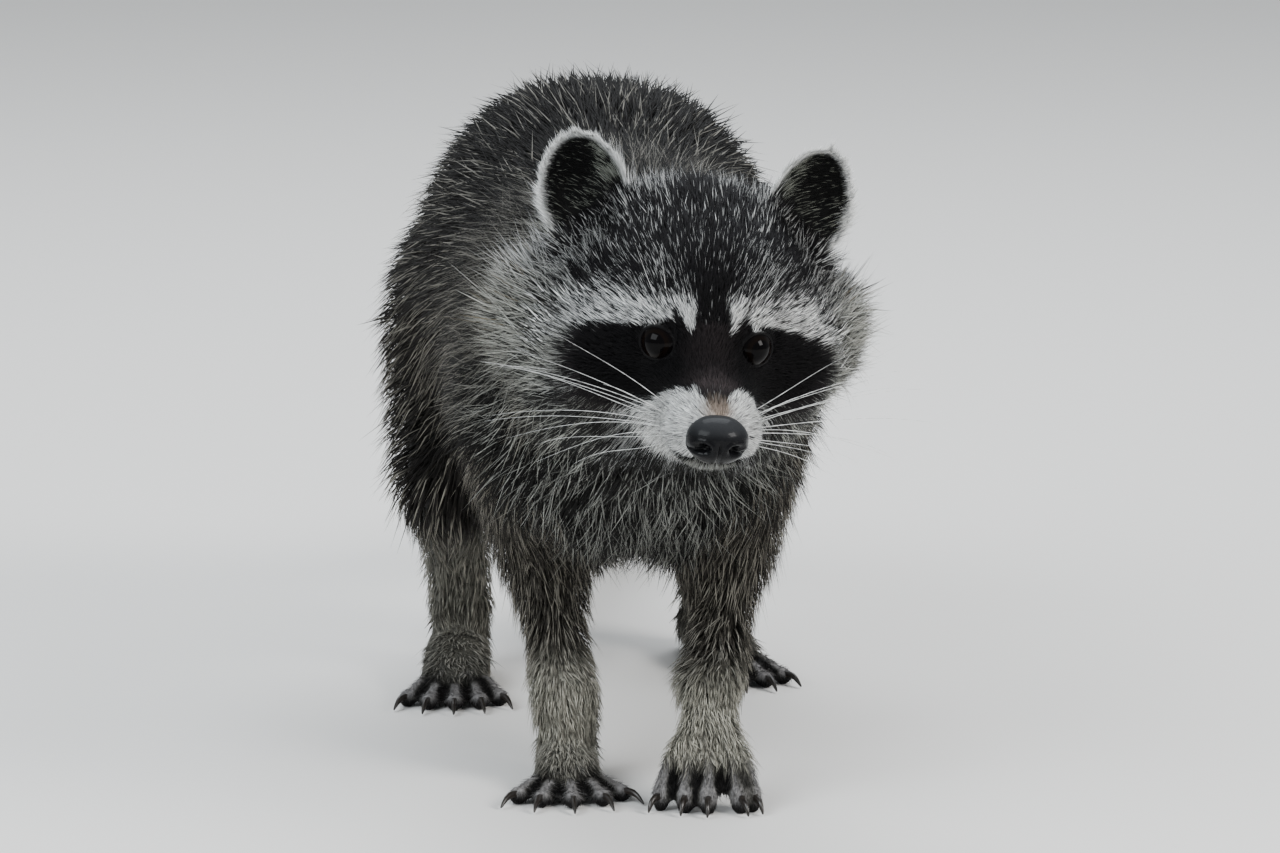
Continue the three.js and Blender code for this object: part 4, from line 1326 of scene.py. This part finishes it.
def mottled(name, colour, roughness, bump, grain):  # one colour, clouded and finely pitted
    made, nodes, links, shader = newMaterial(name)
    place = nodes.new("ShaderNodeTexCoord")
    noise = nodes.new("ShaderNodeTexNoise")
    noise.inputs["Scale"].default_value = grain
    noise.inputs["Detail"].default_value = 4
    links.new(place.outputs["Object"], noise.inputs["Vector"])
    tint = tones(nodes, (0.35, [c * 0.6 for c in colour]), (0.7, [c * 1.5 for c in colour]))
    links.new(noise.outputs["Fac"], tint.inputs["Fac"])
    links.new(tint.outputs["Color"], shader.inputs["Base Color"])
    shader.inputs["Roughness"].default_value = roughness
    bumped(made, noise.outputs["Fac"], bump, 0.0003)
    return made


eyeMaterial = eyeFinish()
lidMaterial = mottled("lidSkin", (0.003, 0.0026, 0.0028), 0.5, 0.3, 900)
lidMaterial.node_tree.nodes["Principled BSDF"].inputs["Specular IOR Level"].default_value = 0.07
for side, (middle, gaze) in eyes.items():
    eyePiece(f"eye{side.title()}", middle, gaze)
    lidPiece(f"lid{side.title()}", middle, gaze)


# the nose pad: a rounded leather form with two nostrils and a groove down its middle
nosePad = {
    "half": (12.4, 10.6, 9.9),
    "square": 2.5,  # 2 is round, and more is squarer
    "nostril": (6.6, -1.2),  # from its middle: aside, up
    "hole": 2.1,
    "depth": 3.6,
    "rim": 0.55,
    "slit": 0.75,
    "groove": 0.9,
    "shift": (0, 0, -1.0),
}


def nosePiece():
    bpy.ops.object.select_all(action="DESELECT")
    bpy.ops.mesh.primitive_uv_sphere_add(segments=128, ring_count=96, radius=mm)
    piece = bpy.context.active_object
    piece.name = piece.data.name = "nosePad"
    ball = unit(placesOf(piece.data))
    ball = np.stack([ball[:, 0], -ball[:, 2], ball[:, 1]], 1)  # its poles point ahead and back
    power = nosePad["square"]
    flat = (np.abs(ball[:, 0]) ** power + np.abs(ball[:, 2]) ** power) ** (1 / power)
    rounder = np.hypot(ball[:, 0], ball[:, 2]) / np.maximum(flat, 1e-6)
    shape = ball * np.stack([rounder, np.ones(len(ball)), rounder], 1)
    x, y, z = (shape * np.array(nosePad["half"])).T
    up = z / nosePad["half"][2]
    x = x * (1 - 0.10 * ramp(0.2, 1, up) - 0.16 * ramp(-0.2, -1, up))  # narrower above and below
    y = y - 0.9 * ramp(0.1, 0.8, up) * (1 - up**2) + 1.1 * ramp(0.0, -1.0, up)
    front = ball[:, 1] < 0
    side, level = nosePad["nostril"]
    away = np.hypot((np.abs(x) - side) * 0.8, z - level)
    slit = np.abs(z - level + 1.1 + 0.25 * (np.abs(x) - side)) + 6 * (np.abs(x) < side)
    slit = nosePad["slit"] * np.exp(-((slit / 0.9) ** 2)) * ramp(15, 10, np.abs(x))
    dent = np.exp(-((away / nosePad["hole"]) ** 2.6)) + slit
    rim = nosePad["rim"] * np.exp(-(((away - 1.5 * nosePad["hole"]) / 0.9) ** 2)) * (z > level)
    groove = np.exp(-((x / 0.7) ** 2)) * ramp(3.5, 0.0, z)
    inward = (nosePad["depth"] * np.minimum(dent, 1) - rim + nosePad["groove"] * groove) * front
    local = np.stack([x, y, z], 1)
    local = local - unit(local) * inward[:, None]
    setPlaces(piece.data, fromHead(local) + noseMiddle - headPlace + nosePad["shift"])
    outwards(piece)
    # towards its top and back the pad is drier, rougher and a paler bluish grey: partly dusty dry leather,
    # partly a painted sheen of light from above
    setShares(piece.data, "dryAndSheen", ramp(0.1, 0.75, up + 0.15 * ball[:, 1]))
    piece.data.shade_smooth()
    piece.data.materials.append(noseFinish())
    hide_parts("nose")
    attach(piece, "root")


def noseFinish():
    made, nodes, links, shader = newMaterial("noseLeather")
    place = nodes.new("ShaderNodeTexCoord")
    cells = nodes.new("ShaderNodeTexVoronoi")
    cells.inputs["Scale"].default_value = 1500
    links.new(place.outputs["Object"], cells.inputs["Vector"])
    tint = tones(nodes, (0, (0.0022, 0.0022, 0.0026)), (1, (0.0060, 0.0060, 0.0070)))
    links.new(cells.outputs["Distance"], tint.inputs["Fac"])
    dryAndSheen = attributeOf(nodes, "dryAndSheen")
    # the paler bluish grey of the top: partly dust on dry leather, partly painted sheen
    dustAndSheen = nodes.new("ShaderNodeMix")
    dustAndSheen.data_type = "RGBA"
    dustAndSheen.inputs["B"].default_value = (0.019, 0.020, 0.022, 1)
    links.new(dryAndSheen.outputs["Fac"], dustAndSheen.inputs["Factor"])
    links.new(tint.outputs["Color"], dustAndSheen.inputs["A"])
    links.new(dustAndSheen.outputs["Result"], shader.inputs["Base Color"])
    worn = nodes.new("ShaderNodeMapRange")
    worn.inputs["To Min"].default_value = 0.24
    worn.inputs["To Max"].default_value = 0.5
    links.new(dryAndSheen.outputs["Fac"], worn.inputs["Value"])
    links.new(worn.outputs["Result"], shader.inputs["Roughness"])
    bumped(made, cells.outputs["Distance"], 0.35, 0.0002).invert = True
    shader.inputs["Specular IOR Level"].default_value = 0.06
    shader.inputs["Coat Weight"].default_value = 0.09
    shader.inputs["Coat Roughness"].default_value = 0.06
    return made


nosePiece()
print("eyes, lids and nose are made")


# the claws: each paw's five, rounded, with their roots in the toes
clawLook = {
    "root": 3.0,  # how far each claw runs back into its toe
    "drop": 0.3,  # and how steeply it goes down there
    "fuller": 0.22,
}
clawMaterial = mottled("clawHorn", (0.016, 0.013, 0.011), 0.3, 0.25, 700)


def rooted(places, nodes, paw):
    middles = np.array([middleOf(node) for node in nodes])
    owner = np.linalg.norm(places[:, None] - middles[None], axis=2).argmin(1)
    for number, middle in enumerate(middles):
        own = owner == number
        offset = places[own] - middle
        back = np.linalg.svd(offset * (1, 1, 0))[2][0]  # level, along the claw
        back = back * np.sign(back @ (middleOf(paw) - middle))
        along = offset @ back
        share = ramp(0.5, 0.9, (along - along.min()) / (along.max() - along.min()))
        places[own] += clawLook["root"] * share[:, None] * (back - (0, 0, clawLook["drop"]))
    return places


def clawPiece(end, side):
    nodes = [f"claw_{end}_{side}_{n}" for n in range(1, 6)]
    claws = mergedCopy(f"claws{end.title()}{side.title()}", nodes)
    setPlaces(claws.data, rooted(placesOf(claws.data), nodes, f"{end}_{side}"))
    finishedWith(claws, "DISPLACE", strength=clawLook["fuller"] * mm, mid_level=0)
    finishedWith(claws, "SUBSURF", levels=2, render_levels=2)
    kept = placesOf(claws.data)
    kept[:, 2] = np.maximum(kept[:, 2], skinLook["clearance"])
    setPlaces(claws.data, kept)
    claws.data.shade_smooth()
    claws.data.materials.append(clawMaterial)
    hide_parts(*nodes)
    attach(claws, "root")


for end in ("forepaw", "hindpaw"):
    for side in ("left", "right"):
        clawPiece(end, side)


# the whiskers: tapered, curved out of the muzzle and over the eyes
whisker = {"thick": 0.16, "thinner": 0.82, "sides": 5, "steps": 14, "longer": 1.06, "wave": 0.7, "rooted": 3}
whiskerRows = (  # in the head's frame: root and heading, both aside, back and up, then length and droop
    ((14.5, -34, -17), (1, 0.28, 0.52), 58, 5),
    ((15.5, -32, -19), (1, 0.30, 0.42), 74, 10),
    ((16.5, -29, -20), (1, 0.36, 0.36), 84, 13),
    ((17.0, -27, -22), (1, 0.42, 0.26), 82, 12),
    ((16.5, -32, -22), (1, 0.26, 0.28), 76, 14),
    ((17.0, -30, -24), (1, 0.32, 0.14), 78, 16),
    ((17.5, -27, -26), (1, 0.40, 0.06), 70, 14),
    ((16.0, -35, -24), (1, 0.18, 0.10), 62, 18),
    ((16.5, -33, -27), (1, 0.26, -0.04), 56, 16),
    ((17.5, -29, -29), (1, 0.34, -0.12), 46, 12),
    ((15.0, -37, -28), (1, 0.16, -0.16), 40, 12),
    ((12.0, -40, -19), (1, 0.12, 0.60), 34, 7),
    ((19.5, -2, 15), (0.5, 0.15, 1.0), 28, -3),
    ((16.5, -4, 16), (0.25, 0.10, 1.0), 22, -2),
    ((34, 12, -22), (1, 0.4, 0.1), 44, 8),
)


def whiskerLine(sign, root, heading, length, droop):
    length = length * chance.uniform(0.85, 1.12) * whisker["longer"]
    heading = unit(np.array(heading) * (sign, 1, 1) + chance.normal(0, 0.06, 3))
    part = np.linspace(0, 1, whisker["steps"] + 1)[:, None]
    curve = np.array(root) * (sign, 1, 1) + heading * (part * length - whisker["rooted"])
    curve = curve + np.array([0, 0.35, -1.0]) * droop * part**2.2
    return curve + np.array([0, 0, 1.0]) * chance.normal(0, whisker["wave"]) * np.sin(part * 5)


def whiskerTube(curve):  # rings along the line, then the middles of its two ends
    along = unit(np.gradient(curve, axis=0))
    aside = unit(np.cross(along, [0, 0.3, 1.0]))
    over = np.cross(aside, along)
    points = []
    for step, place in enumerate(curve):
        radius = whisker["thick"] * (1 - whisker["thinner"] * step / whisker["steps"])
        for n in range(whisker["sides"]):
            turn = 2 * math.pi * n / whisker["sides"]
            points.append(place + (aside[step] * math.cos(turn) + over[step] * math.sin(turn)) * radius)
    return points + [curve[0], curve[-1]]


def whiskerFaces(first):
    sides, steps = whisker["sides"], whisker["steps"]
    last = first + steps * sides
    faces = []
    for low in range(first, last, sides):
        for n in range(sides):
            a, b = low + n, low + (n + 1) % sides
            faces += [(a, b, b + sides), (a, b + sides, a + sides)]
    for a in range(sides):
        b = (a + 1) % sides
        faces += [(last + sides, first + b, first + a), (last + sides + 1, last + a, last + b)]
    return faces


def whiskerPiece():
    points, faces = [], []
    for sign in (-1, 1):
        for row in whiskerRows:
            faces += whiskerFaces(len(points))
            points += whiskerTube(whiskerLine(sign, *row))
    piece = meshPiece("whiskers", fromHead(np.array(points)), np.array(faces))
    outwards(piece)
    piece.data.materials.append(whiskerMaterial)
    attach(piece, "root")


whiskerMaterial = mottled("whiskerHair", (0.62, 0.63, 0.62), 0.35, 0.1, 400)
whiskerPiece()
print("claws and whiskers are made")
# the skin's finish; its colour holds the painted shade under the coat
skin.data.materials.append(hairFinish("underCoatAndShade", overSkin, 700, 0.4))
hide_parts(*fleshNodes)
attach(skin, "root")
